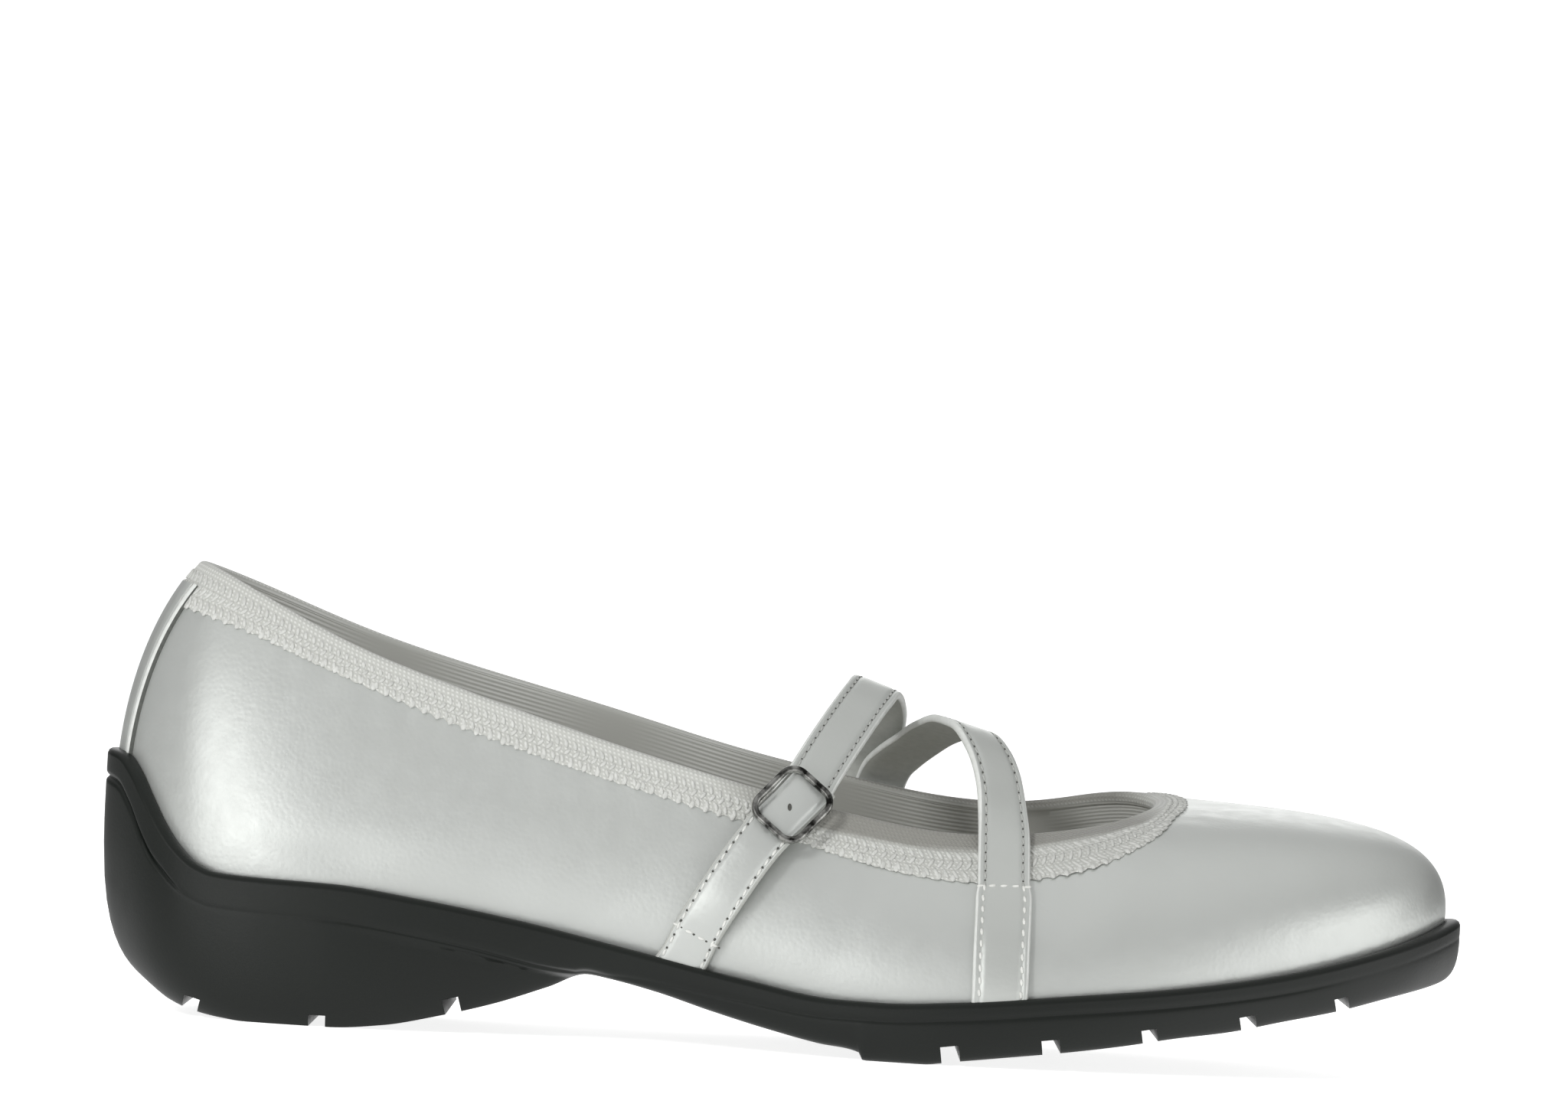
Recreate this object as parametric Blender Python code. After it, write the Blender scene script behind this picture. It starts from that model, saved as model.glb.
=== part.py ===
"""Mary jane ballet flat, a right shoe: moulded rubber sole, insole, hollow leather upper with an elastic
binding round its topline, two thin straps over the instep and a small metal buckle on the outer side.

Sizes are in millimetres and become metres where a mesh is made. While the pieces are worked out, x runs
forward from the back of the heel, y towards the medial (inner) side and z up from the floor. The finished
pieces hang on one empty, which puts the origin under the middle of the shoe."""

import math
from collections import namedtuple

import bmesh
import bpy
import numpy as np
from mathutils import Matrix, Vector

MM = 0.001
GAP = 0.3  # clearance between pieces that meet
WALL = 1.8  # leather and lining of the upper
BINDING_WALL = 2.4  # elastic band, folded over the topline
RIM_WALL = 2.8  # rubber lip that holds the foot of the upper
INSOLE_THICK = 3.0
STRAP_WIDTH = 9.2
STRAP_THICK = 1.5
BUCKLE_LONG = 14.4  # outside, along the strap
BUCKLE_WIDE = 13.6
BUCKLE_CORNER = 3.6
BUCKLE_WIRE = 2.0
BUCKLE_AT = (129.1, 45.8)  # x and z of its middle, on the lateral wall
SOLE_SHOULDER = 0.45  # share of the sole wall's height that drops straight from the rim
SOLE_BULGE = 0.92  # share of the rim's overhang kept near the bottom edge
SOLE_ROUNDING = 0.12  # share of the height over which the wall rounds under to the bottom edge
TIP_ROUNDNESS = 0.94  # how far a round strap end closes, short of a point
GROOVE_REACH = 110.0  # longer than the sole is wide
SMOOTH_ANGLE = math.radians(35)

COLUMNS_PER_SIDE = 36  # facets along each side of the shoe
ROUND_ENDS = 1.7  # ribs from the heel and the toe that get twice as many
RIM_ROWS = 3
WALL_ROWS = 9
BINDING_ROWS = 2
SOLE_ROWS = 5
BUCKLE_CORNER_STEPS = 4
CURVE_STEP = 0.01  # step in t for directions along a curve
OUTLINE_SAMPLES = 500  # along one side, to find where the bottom edge passes an x
SEARCH_GRID = 41  # points each way when a place on the wall is looked for
SEARCH_ROUNDS = 6
PAST_TOPLINE = 1.15  # rib param up to which the wall's run is followed above the topline

# One row for each pair of ribs, from the heel to the toe. A rib climbs from the foot of the upper to the
# topline. x, medial and lateral give the sole's outline, inset is the way in to the foot of the upper and
# tuck the way in to the bottom edge. top_* is the topline. The rib leaves its foot by swell outwards and
# rise of its height, and reaches the top by reach of its plan length and drop of its height. band is the
# height of the binding.
Rib = namedtuple(
    "Rib",
    "x medial lateral inset tuck top_x top_medial top_lateral top_z_medial top_z_lateral "
    "swell rise reach drop band",
)
RIBS = [
    Rib(0, 0, 0, 6.3, 14.0, 16.0, 0, 0, 84.2, 84.2, 6.2, 0.22, 1.63, 0.28, 10.0),
    Rib(9, 20, -20, 6.0, 9.0, 20.0, 9.5, -9.5, 82.8, 82.6, 6.0, 0.24, 1.30, 0.28, 9.0),
    Rib(26, 29.5, -30, 5.2, 4.5, 31.0, 16.5, -16.5, 78.7, 77.2, 5.0, 0.28, 0.90, 0.30, 7.5),
    Rib(48, 31, -33, 4.8, 3.5, 48.0, 21.2, -21.5, 72.4, 69.5, 4.5, 0.30, 0.75, 0.33, 6.2),
    Rib(72, 29.5, -33.5, 4.7, 3.5, 70.0, 23.6, -24.5, 66.2, 62.2, 4.5, 0.32, 0.70, 0.33, 6.2),
    Rib(97, 28.5, -34.5, 4.7, 3.5, 93.0, 24.8, -26.5, 60.5, 55.4, 4.5, 0.33, 0.65, 0.33, 6.6),
    Rib(122, 31, -37.5, 4.7, 3.5, 116.0, 25.4, -28.0, 54.7, 49.6, 4.5, 0.35, 0.60, 0.33, 7.2),
    Rib(147, 37.5, -42, 4.7, 3.5, 138.0, 25.6, -27.5, 50.4, 44.9, 4.5, 0.38, 0.50, 0.30, 8.5),
    Rib(171, 43, -44, 4.7, 3.5, 157.0, 24.6, -25.0, 47.6, 42.2, 4.5, 0.45, 0.48, 0.25, 10.0),
    Rib(194, 44.5, -41.5, 4.9, 3.6, 172.0, 22.2, -21.8, 47.4, 42.6, 5.0, 0.52, 0.55, 0.15, 11.2),
    Rib(215, 41.2, -36, 5.3, 4.0, 183.0, 18.6, -17.4, 49.2, 44.2, 5.5, 0.62, 0.66, 0.07, 10.2),
    Rib(234, 34.5, -28.0, 5.8, 4.5, 190.0, 14.0, -12.0, 50.0, 46.1, 6.5, 0.73, 0.76, 0.01, 8.2),
    Rib(249, 22.0, -15.0, 6.2, 5.0, 194.2, 8.4, -5.6, 49.6, 47.8, 7.2, 0.82, 0.82, -0.03, 6.8),
    Rib(256, 4, 4, 6.5, 5.5, 195.5, 1.8, 1.8, 48.9, 48.9, 7.5, 0.87, 0.83, -0.04, 6.5),
]

# Heights along the shoe, by distance from the heel.
Level = namedtuple("Level", "x z")
RIM_TOP = [
    Level(0, 47.8), Level(2.5, 47.0), Level(5, 44.5), Level(8, 40.0), Level(11, 35.5), Level(14, 31.8),
    Level(18, 28.6), Level(22, 27.2), Level(27, 26.8), Level(45, 26.4), Level(60, 24.9), Level(80, 22.0),
    Level(100, 18.1), Level(120, 14.1), Level(138, 11.1), Level(146, 10.9), Level(160, 11.8),
    Level(180, 13.9), Level(200, 16.2), Level(220, 19.5), Level(240, 24.6), Level(250, 28.0),
    Level(256, 30.4),
]
FOOTBED = [
    Level(0, 18.5), Level(30, 18.0), Level(60, 17.0), Level(90, 15.8), Level(115, 11.2), Level(140, 6.4),
    Level(160, 6.3), Level(177, 7.8), Level(195, 10.0), Level(214, 13.8), Level(231, 17.6), Level(245, 21.0),
    Level(256, 24.0),
]
HEEL_FLAT = (30.0, 45.0)  # the stretches that stand on the floor
TREAD_FLAT = (143.4, 154.0)
TREAD_STEP = 142.6  # the front tread block starts here, below the shank
UNDERSIDE = [
    Level(10, 5.5), Level(15, 2.7), Level(20, 1.2), Level(25, 0.4), Level(HEEL_FLAT[0], 0),
    Level(HEEL_FLAT[1], 0), Level(55, 0.9), Level(65, 3.1), Level(75, 5.9), Level(85, 9.6), Level(92, 12.4),
    Level(96, 11.9), Level(105, 10.0), Level(115, 7.2), Level(125, 4.7), Level(135, 2.6),
    Level(TREAD_STEP, 1.4), Level(TREAD_FLAT[0], 0), Level(TREAD_FLAT[1], 0), Level(160, 0.8),
    Level(170, 2.2), Level(180, 3.6), Level(190, 5.2), Level(200, 7.1), Level(210, 8.7), Level(220, 11.0),
    Level(230, 13.2), Level(240, 15.9), Level(251, 18.6),
]

# Cross grooves of the tread: where, how wide and how deep.
Groove = namedtuple("Groove", "x wide deep")
GROOVES = [
    Groove(19.1, 3.1, 2.4), Groove(43.1, 3.1, 2.1), Groove(68.0, 3.0, 2.8), Groove(159.4, 3.4, 3.0),
    Groove(177.6, 3.3, 2.6), Groove(195.6, 2.8, 2.4), Groove(213.7, 2.9, 2.4), Groove(231.2, 2.6, 2.4),
]

# Strap routes. A Stuck row lies on the wall at x and z, lift clear of it. A Free row is in the air.
Stuck = namedtuple("Stuck", "x z lift")
Free = namedtuple("Free", "x y z")
OVER_STRAP = 3 * GAP + STRAP_THICK  # lift of a strap that lies on another
LATERAL, MEDIAL = "lateral", "medial"
BUCKLE_TAB = [
    Stuck(110.6, 17.4, 0.4), Stuck(112.6, 21.8, 0.4), Stuck(117.1, 29.0, 1.3), Stuck(121.1, 35.4, 2.0),
    Stuck(124.7, 40.6, OVER_STRAP), Stuck(128.2, 44.8, OVER_STRAP), Stuck(131.4, 49.0, OVER_STRAP),
]
REAR_STRAP = [
    Stuck(126.3, 42.4, 0.4), Stuck(128.2, 44.8, 0.4), Stuck(130.2, 47.6, 0.5), Free(132.4, -25.2, 51.0),
    Free(135.4, -20.2, 55.8), Free(139.5, -11.5, 62.2), Free(142.8, -3.5, 67.2), Free(144.3, 2.5, 68.9),
    Free(145.0, 8.0, 67.6), Free(145.3, 15.0, 63.6), Free(145.3, 21.5, 58.9), Free(145.3, 27.2, 55.3),
    Free(145.4, 30.6, 51.4),
    Stuck(145.8, 44.0, 3.3), Stuck(146.4, 34.0, 2.9), Stuck(146.9, 22.0, 2.8), Stuck(147.2, 12.6, 2.8),
]
FRONT_STRAP = [
    Stuck(168.4, 14.2, 0.4), Stuck(168.3, 21.0, 0.4), Stuck(168.3, 28.4, 0.4), Stuck(168.1, 34.5, 0.4),
    Stuck(167.8, 39.6, 0.5), Free(166.9, -21.9, 46.4), Free(165.6, -19.2, 52.4), Free(163.6, -14.8, 57.4),
    Free(160.6, -7.6, 61.2), Free(157.6, 0.0, 61.8), Free(154.4, 7.6, 60.0), Free(151.0, 15.0, 56.8),
    Free(148.4, 21.0, 54.0), Free(146.9, 25.2, 51.6), Free(146.2, 28.2, 48.6),
    Stuck(145.6, 43.0, 0.5), Stuck(144.4, 34.0, 0.4), Stuck(143.2, 22.0, 0.4), Stuck(142.4, 12.6, 0.4),
]
STRAP_STEP = 3.0  # length of a strap's facets
INSTEP_AXIS_Z = 20.0  # straps in the air face away from a line along the foot at this height
INSTEP_SLOPE = 0.35  # and lean forwards as the instep does


def closed_curve(points):
    """A smooth function of t once round the points, with a point at each whole t."""
    points = np.asarray(points, float)
    count = len(points)
    ring = 4 * np.eye(count) + np.roll(np.eye(count), 1, 0) + np.roll(np.eye(count), -1, 0)
    slopes = np.linalg.solve(ring, 3 * (np.roll(points, -1, 0) - np.roll(points, 1, 0)))

    def at(t):
        t = np.asarray(t, float) % count
        start = np.floor(t).astype(int) % count
        end = (start + 1) % count
        f = (t - np.floor(t))[..., None]
        return (
            (1 + 2 * f) * (1 - f) ** 2 * points[start] + f * (1 - f) ** 2 * slopes[start]
            + f * f * (3 - 2 * f) * points[end] - f * f * (1 - f) * slopes[end]
        )

    return at


def profile(places, values):
    """A smooth function through values at rising places, with no overshoot between them."""
    places, values = np.asarray(places, float), np.asarray(values, float)
    steps, rises = np.diff(places), np.diff(values) / np.diff(places)
    slopes = np.concatenate([rises[:1], rises[:-1] * 0, rises[-1:]])
    for k in range(1, len(places) - 1):
        if rises[k - 1] * rises[k] > 0:
            near, far = 2 * steps[k] + steps[k - 1], steps[k] + 2 * steps[k - 1]
            slopes[k] = (near + far) / (near / rises[k - 1] + far / rises[k])

    def at(x):
        x = np.clip(x, places[0], places[-1])
        k = np.clip(np.searchsorted(places, x, side="right") - 1, 0, len(steps) - 1)
        f = (x - places[k]) / steps[k]
        return (
            (1 + 2 * f) * (1 - f) ** 2 * values[k] + f * (1 - f) ** 2 * steps[k] * slopes[k]
            + f * f * (3 - 2 * f) * values[k + 1] - f * f * (1 - f) * steps[k] * slopes[k + 1]
        )

    return at


def level_profile(levels):
    return profile([level.x for level in levels], [level.z for level in levels])


rim_top, footbed, underside = level_profile(RIM_TOP), level_profile(FOOTBED), level_profile(UNDERSIDE)
TOE_T = len(RIBS) - 1  # t runs 0 at the heel, along the lateral side to the toe, and back medially
FULL_T = 2 * TOE_T
UP = np.array([0.0, 0.0, 1.0])


def round_rows(lateral, medial=None):
    """Row values in the order of t: heel, lateral side, toe, medial side."""
    lateral = np.asarray(lateral, float)
    medial = lateral if medial is None else np.asarray(medial, float)
    return np.concatenate([lateral, medial[-2:0:-1]])


def flat_normal(curve, t):
    """Outward direction in plan of a closed curve that runs anticlockwise."""
    along = (curve(np.asarray(t) + CURVE_STEP) - curve(np.asarray(t) - CURVE_STEP))[..., :2]
    normal = np.stack([along[..., 1], -along[..., 0], np.zeros(along.shape[:-1])], -1)
    return normal / np.linalg.norm(normal, axis=-1, keepdims=True)


def rib_curves():
    """The outline's bottom edge, and the four curves that steer every rib: foot, swell, reach and top."""
    rows = np.arange(FULL_T)
    outline_points = round_rows(
        [(rib.x, rib.lateral, 0) for rib in RIBS], [(rib.x, rib.medial, 0) for rib in RIBS]
    )
    outward = flat_normal(closed_curve(outline_points), rows)

    def column(name):
        return round_rows([getattr(rib, name) for rib in RIBS])[:, None]

    edge = outline_points - outward * column("tuck")
    foot = outline_points - outward * column("inset")
    foot[:, 2] = footbed(foot[:, 0]) + GAP
    top = round_rows(
        [(rib.top_x, rib.top_lateral, rib.top_z_lateral) for rib in RIBS],
        [(rib.top_x, rib.top_medial, rib.top_z_medial) for rib in RIBS],
    )
    height = (top - foot)[:, 2:]
    swell = foot + outward * column("swell") + UP * column("rise") * height
    plan_run = (foot - top) * (1, 1, 0)
    reach = top + plan_run * column("reach") - UP * column("drop") * height
    return closed_curve(edge), [closed_curve(points) for points in (foot, swell, reach, top)]


edge_curve, rib_steer = rib_curves()
band_height = closed_curve(round_rows([rib.band for rib in RIBS])[:, None])
RIB_SAMPLES = np.linspace(0, 1, 61)


def wall_point(t, v):
    """Outer face of the upper at t round the shoe and v up the rib, and its outward normal."""
    t, v = np.asarray(t, float), np.asarray(v, float)[..., None]

    def at(t):
        foot, swell, reach, top = (curve(t) for curve in rib_steer)
        point = (1 - v) ** 3 * foot + 3 * (1 - v) ** 2 * v * swell + 3 * (1 - v) * v * v * reach + v**3 * top
        climb = (1 - v) ** 2 * (swell - foot) + 2 * (1 - v) * v * (reach - swell) + v * v * (top - reach)
        return point, climb

    point, climb = at(t)
    normal = np.cross(at(t + CURVE_STEP)[0] - at(t - CURVE_STEP)[0], climb)
    return point, normal / np.linalg.norm(normal, axis=-1, keepdims=True)


def rib_line(t):
    return wall_point(np.full(len(RIB_SAMPLES), t), RIB_SAMPLES)[0]


def rib_param_at_height(t, z):
    line = rib_line(t)
    above = int(np.argmax(line[:, 2] >= z))
    return float(np.interp(z, line[above - 1 : above + 1, 2], RIB_SAMPLES[above - 1 : above + 1]))


def rib_param_below_top(t, length):
    line = rib_line(t)
    run = np.concatenate([[0], np.cumsum(np.linalg.norm(np.diff(line, axis=0), axis=1))])
    return float(np.interp(run[-1] - length, run, RIB_SAMPLES))


def side_stations(side):
    """t of the facets along one side, with one at each end of the flat stretches and the tread step."""
    low, high = (0, TOE_T) if side == LATERAL else (TOE_T, FULL_T)
    even = np.linspace(low, high, COLUMNS_PER_SIDE + 1)
    halfway = (even[1:] + even[:-1]) / 2
    ends = halfway[np.minimum(halfway - low, high - halfway) < ROUND_ENDS]
    dense = np.linspace(low, high, OUTLINE_SAMPLES)
    edge_x = edge_curve(dense)[:, 0]
    if side == MEDIAL:
        dense, edge_x = dense[::-1], edge_x[::-1]
    exact = np.interp([*HEEL_FLAT, TREAD_STEP, *TREAD_FLAT], edge_x, dense)
    return np.sort(np.concatenate([even, ends, exact]))


outline_x = closed_curve(round_rows([rib.x for rib in RIBS])[:, None])
RING = np.concatenate([side_stations(LATERAL), side_stations(MEDIAL)[1:-1]])
RIM_PARAM = np.array([rib_param_at_height(t, rim_top(outline_x(t)[0])) for t in RING])
BAND_PARAM = np.array([rib_param_below_top(t, float(band_height(t)[0])) for t in RING])
BAND_FOOT_PARAM = np.array([rib_param_below_top(t, float(band_height(t)[0]) - GAP) for t in RING])


def wall_rings(params, lift):
    """Rings round the shoe at each row of rib params, lift out from the wall's outer face."""
    rings = []
    for row in params:
        point, normal = wall_point(RING, row)
        rings.append(point + normal * lift)
    return rings


def between(low, high, rows):
    """Rib params from low to high in even rows, both ends included."""
    return [low + (high - low) * share for share in np.linspace(0, 1, rows + 1)]


def finish_object(obj, material, collection):
    for old in obj.users_collection:
        old.objects.unlink(obj)
    collection.objects.link(obj)
    obj.data.materials.append(material)
    obj.parent = root
    return obj


def make_solid(name, points, faces, material):
    """One closed mesh piece, faces outwards, smooth but for its sharp edges."""
    mesh = bpy.data.meshes.new(name)
    mesh.from_pydata([Vector(point) * MM for point in points], [], faces)
    shell = bmesh.new()
    shell.from_mesh(mesh)
    bmesh.ops.recalc_face_normals(shell, faces=shell.faces)
    shell.to_mesh(mesh)
    shell.free()
    mesh.shade_smooth()
    mesh.set_sharp_from_angle(angle=SMOOTH_ANGLE)
    return finish_object(bpy.data.objects.new(name, mesh), material, shoe)


def loft(name, rings, material, tube):
    """A closed solid through rings of equal count. A tube joins its last ring to its first, and other
    solids are closed by rungs from the lateral to the medial side of their end rings."""
    count = len(rings[0])
    rows = len(rings)
    faces = []
    for row in range(rows if tube else rows - 1):
        low, high = row * count, (row + 1) % rows * count
        for k in range(count):
            after = (k + 1) % count
            faces.append((low + k, low + after, high + after, high + k))
    if not tube:
        for start in (0, (rows - 1) * count):
            for k in range(count // 2):
                rung = [k, k + 1, count - k - 1, (count - k) % count]
                faces.append([start + corner for corner in dict.fromkeys(rung)])
    return make_solid(name, np.concatenate(rings), faces, material)


def principled(name, colour, roughness, metallic=0.0):
    material = bpy.data.materials.new(name)
    material.use_nodes = True
    shader = material.node_tree.nodes["Principled BSDF"]
    shader.inputs["Base Color"].default_value = (*colour, 1)
    shader.inputs["Roughness"].default_value = roughness
    shader.inputs["Metallic"].default_value = metallic
    return material


def make_outsole():
    """Rubber cup: footbed, inner wall that follows the upper, rim, outer wall and underside."""
    inner = wall_rings(between(np.zeros(len(RING)), RIM_PARAM, RIM_ROWS), GAP)
    inner[0][:, 2] = footbed(inner[0][:, 0])
    out = flat_normal(rib_steer[0], RING)
    rim = inner[-1] + out * RIM_WALL
    edge = edge_curve(RING)
    edge[:, 2] = underside(edge[:, 0])
    height = (rim - edge)[:, 2:]
    shoulder = rim - UP * SOLE_SHOULDER * height
    bulge = edge + (rim - edge) * (SOLE_BULGE, SOLE_BULGE, 0) + UP * SOLE_ROUNDING * height
    outer = [
        (1 - v) ** 3 * rim + 3 * (1 - v) ** 2 * v * shoulder + 3 * (1 - v) * v * v * bulge + v**3 * edge
        for v in np.linspace(0, 1, SOLE_ROWS + 1)
    ]
    sole = loft("outsole", inner + outer, principled("black_rubber", (0.025, 0.027, 0.026), 0.5), False)
    for number, groove in enumerate(GROOVES):
        cut_groove(sole, number, groove)


def cut_groove(sole, number, groove):
    """A cross groove square to the underside at its place."""
    half = groove.wide / 2
    slope = (underside(groove.x + half) - underside(groove.x - half)) / groove.wide
    bpy.ops.mesh.primitive_cube_add(size=1)
    cutter = bpy.context.object
    cutter.name = f"tread_groove_{number}"
    cutter.dimensions = (groove.wide * MM, GROOVE_REACH * MM, 2 * groove.deep * MM)
    cutter.location = Vector((groove.x, 0, underside(groove.x))) * MM
    cutter.rotation_euler.y = -math.atan(slope)
    cutter.parent = root
    cutter.hide_render = True
    cutter.display_type = "WIRE"
    for old in cutter.users_collection:
        old.objects.unlink(cutter)
    cutters.objects.link(cutter)
    cut = sole.modifiers.new(cutter.name, "BOOLEAN")
    cut.object = cutter


def make_insole():
    """Foam board with a leather top, on the footbed inside the foot of the upper."""
    foot = rib_steer[0](RING) - flat_normal(rib_steer[0], RING) * (WALL + 2 * GAP)
    low, high = foot.copy(), foot.copy()
    low[:, 2] = footbed(foot[:, 0]) + GAP
    high[:, 2] = low[:, 2] + INSOLE_THICK
    loft("insole", [low, high], principled("insole_leather", (0.33, 0.32, 0.29), 0.7), False)


def make_shell(name, params, thick, material):
    """A wall of even thickness behind the outer face, open at both ends and clear of the footbed."""
    outer = wall_rings(params, 0)
    inner = wall_rings(params, -thick)
    inner[0][:, 2] = np.maximum(inner[0][:, 2], footbed(inner[0][:, 0]) + GAP)
    loft(name, outer + inner[::-1], material, True)


def nearest_on_wall(x, z, side):
    """t and v where one side of the wall, or its run past the topline, shows at x and z."""
    low, high = (0, TOE_T) if side == LATERAL else (TOE_T, FULL_T)
    t_span, v_span = (low, high), (0.0, PAST_TOPLINE)
    for _ in range(SEARCH_ROUNDS):
        t, v = np.meshgrid(np.linspace(*t_span, SEARCH_GRID), np.linspace(*v_span, SEARCH_GRID))
        point = wall_point(t, v)[0]
        best = np.argmin((point[..., 0] - x) ** 2 + (point[..., 2] - z) ** 2)
        t_best, v_best = t.flat[best], v.flat[best]
        t_reach, v_reach = (t_span[1] - t_span[0]) / 10, (v_span[1] - v_span[0]) / 10
        t_span = (max(low, t_best - t_reach), min(high, t_best + t_reach))
        v_span = (v_best - v_reach, v_best + v_reach)
    return t_best, v_best


def strap_frames(route):
    """Points, outward normals and across directions at even steps along a strap's underside."""
    points, normals = [], []
    side = LATERAL
    for stop in route:
        if isinstance(stop, Stuck):
            point, normal = wall_point(*nearest_on_wall(stop.x, stop.z, side))
            points.append(point + normal * stop.lift)
        else:
            points.append(np.array(stop, float))
            normal = np.array([INSTEP_SLOPE * (stop.z - INSTEP_AXIS_Z), stop.y, stop.z - INSTEP_AXIS_Z])
            side = LATERAL if stop.y < 0 else MEDIAL
        normals.append(normal / np.linalg.norm(normal))
    points, normals = np.array(points), np.array(normals)
    run = np.concatenate([[0], np.cumsum(np.linalg.norm(np.diff(points, axis=0), axis=1))])
    stations = np.linspace(0, run[-1], max(2, round(run[-1] / STRAP_STEP)) + 1)
    centre = np.stack([profile(run, points[:, k])(stations) for k in range(3)], 1)
    facing = np.stack([profile(run, normals[:, k])(stations) for k in range(3)], 1)
    along = np.gradient(centre, stations, axis=0)
    along /= np.linalg.norm(along, axis=1, keepdims=True)
    facing -= along * np.sum(facing * along, axis=1, keepdims=True)
    facing /= np.linalg.norm(facing, axis=1, keepdims=True)
    return stations, centre, facing, np.cross(along, facing)


def make_strap(name, route, material, round_end=False):
    """A flat strip with square edges along its route, narrowed to a round end where it has one."""
    stations, centre, facing, across = strap_frames(route)
    half = np.full(len(stations), STRAP_WIDTH / 2)
    if round_end:
        into_end = np.clip(1 - (stations[-1] - stations) / half, 0, TIP_ROUNDNESS)
        half = half * np.sqrt(1 - into_end**2)
    reach = across * half[:, None]
    rise = facing * STRAP_THICK
    rails = [centre - reach, centre + reach, centre + reach + rise, centre - reach + rise]
    count = len(stations)
    faces = [[0, count, 2 * count, 3 * count], [4 * count - 1, 3 * count - 1, 2 * count - 1, count - 1]]
    for rail in range(4):
        low, high = rail * count, (rail + 1) % 4 * count
        faces += [(low + k, low + k + 1, high + k + 1, high + k) for k in range(count - 1)]
    make_solid(name, np.concatenate(rails), faces, material)


def make_buckle():
    """A rounded square of round wire that lies over the tab and the rear strap."""
    curve = bpy.data.curves.new("buckle_frame", "CURVE")
    curve.dimensions = "3D"
    curve.bevel_depth = BUCKLE_WIRE / 2 * MM
    curve.bevel_resolution = 2
    half_long, half_wide = (BUCKLE_LONG - BUCKLE_WIRE) / 2, (BUCKLE_WIDE - BUCKLE_WIRE) / 2
    radius = BUCKLE_CORNER - BUCKLE_WIRE / 2
    path = []
    for quarter, (side_x, side_y) in enumerate([(1, 1), (-1, 1), (-1, -1), (1, -1)]):
        for step in range(BUCKLE_CORNER_STEPS + 1):
            angle = math.pi / 2 * (quarter + step / BUCKLE_CORNER_STEPS)
            path.append((
                side_x * (half_wide - radius) + radius * math.cos(angle),
                side_y * (half_long - radius) + radius * math.sin(angle),
            ))
    spline = curve.splines.new("POLY")
    spline.points.add(len(path) - 1)
    for point, (x, y) in zip(spline.points, path):
        point.co = (x * MM, y * MM, 0, 1)
    spline.use_cyclic_u = True
    buckle = bpy.data.objects.new("buckle_frame", curve)
    finish_object(buckle, principled("dark_nickel", (0.22, 0.22, 0.21), 0.25, 1.0), shoe)
    _, centre, facing, across = strap_frames(BUCKLE_TAB)
    seat = int(np.argmin(np.hypot(centre[:, 0] - BUCKLE_AT[0], centre[:, 2] - BUCKLE_AT[1])))
    normal, side = Vector(facing[seat]), Vector(across[seat])
    lift = STRAP_THICK + GAP + BUCKLE_WIRE / 2
    place = Matrix((side, normal.cross(side), normal)).transposed().to_4x4()
    place.translation = (Vector(centre[seat]) + normal * lift) * MM
    buckle.matrix_local = place


for old_object in list(bpy.data.objects):
    bpy.data.objects.remove(old_object, do_unlink=True)
shoe = bpy.data.collections.new("mary_jane_ballet_flat")
cutters = bpy.data.collections.new("tread_cutters")
bpy.context.scene.collection.children.link(shoe)
bpy.context.scene.collection.children.link(cutters)
root = bpy.data.objects.new("shoe_root", None)
shoe.objects.link(root)

silver = principled("silver_leather", (0.45, 0.46, 0.44), 0.4, 0.3)
make_outsole()
make_insole()
below_rim = between(np.zeros(len(RING)), RIM_PARAM, RIM_ROWS)
above_rim = between(RIM_PARAM, BAND_PARAM, WALL_ROWS)
make_shell("upper", below_rim + above_rim[1:], WALL, silver)
make_shell(
    "topline_binding", between(BAND_FOOT_PARAM, np.ones(len(RING)), BINDING_ROWS), BINDING_WALL,
    principled("elastic_binding", (0.58, 0.58, 0.55), 0.8),
)
make_strap("front_strap", FRONT_STRAP, silver)
make_strap("rear_strap", REAR_STRAP, silver)
make_strap("buckle_tab", BUCKLE_TAB, silver, round_end=True)
make_buckle()

bpy.context.view_layer.update()
corners = np.array([
    obj.matrix_world @ Vector(corner) for obj in shoe.objects if obj is not root for corner in obj.bound_box
])
middle = (corners.min(0) + corners.max(0)) / 2
root.location = (-middle[0], -middle[1], 0)
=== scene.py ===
import math
from collections import namedtuple

import bmesh
import bpy
import numpy as np
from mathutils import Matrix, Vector


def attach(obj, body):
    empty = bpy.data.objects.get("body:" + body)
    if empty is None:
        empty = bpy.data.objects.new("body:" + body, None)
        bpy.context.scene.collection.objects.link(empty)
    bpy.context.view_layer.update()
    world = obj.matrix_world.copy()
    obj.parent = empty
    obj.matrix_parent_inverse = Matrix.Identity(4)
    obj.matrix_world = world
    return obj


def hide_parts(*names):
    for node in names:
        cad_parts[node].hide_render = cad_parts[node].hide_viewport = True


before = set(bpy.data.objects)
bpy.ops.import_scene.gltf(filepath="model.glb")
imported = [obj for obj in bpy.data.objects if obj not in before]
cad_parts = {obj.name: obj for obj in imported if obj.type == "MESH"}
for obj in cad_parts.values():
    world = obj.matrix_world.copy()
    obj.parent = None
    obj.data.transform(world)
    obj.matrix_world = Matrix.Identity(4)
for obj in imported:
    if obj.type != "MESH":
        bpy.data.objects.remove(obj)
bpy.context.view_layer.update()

# Outsole: one black rubber moulding, pressed in a steel mould. It is a shallow cup that holds the foot of the
# upper, with a high counter round the heel, a wedge heel, an arch, a toe spring and lugs cut by cross grooves.
# While a piece is worked out, x runs forward from the back of the heel, y to the inner side and z up, in mm.
MM = 0.001
ORIGIN = np.array([126.94, 0.22, 0.0])  # the frame's origin in those sizes
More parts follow.
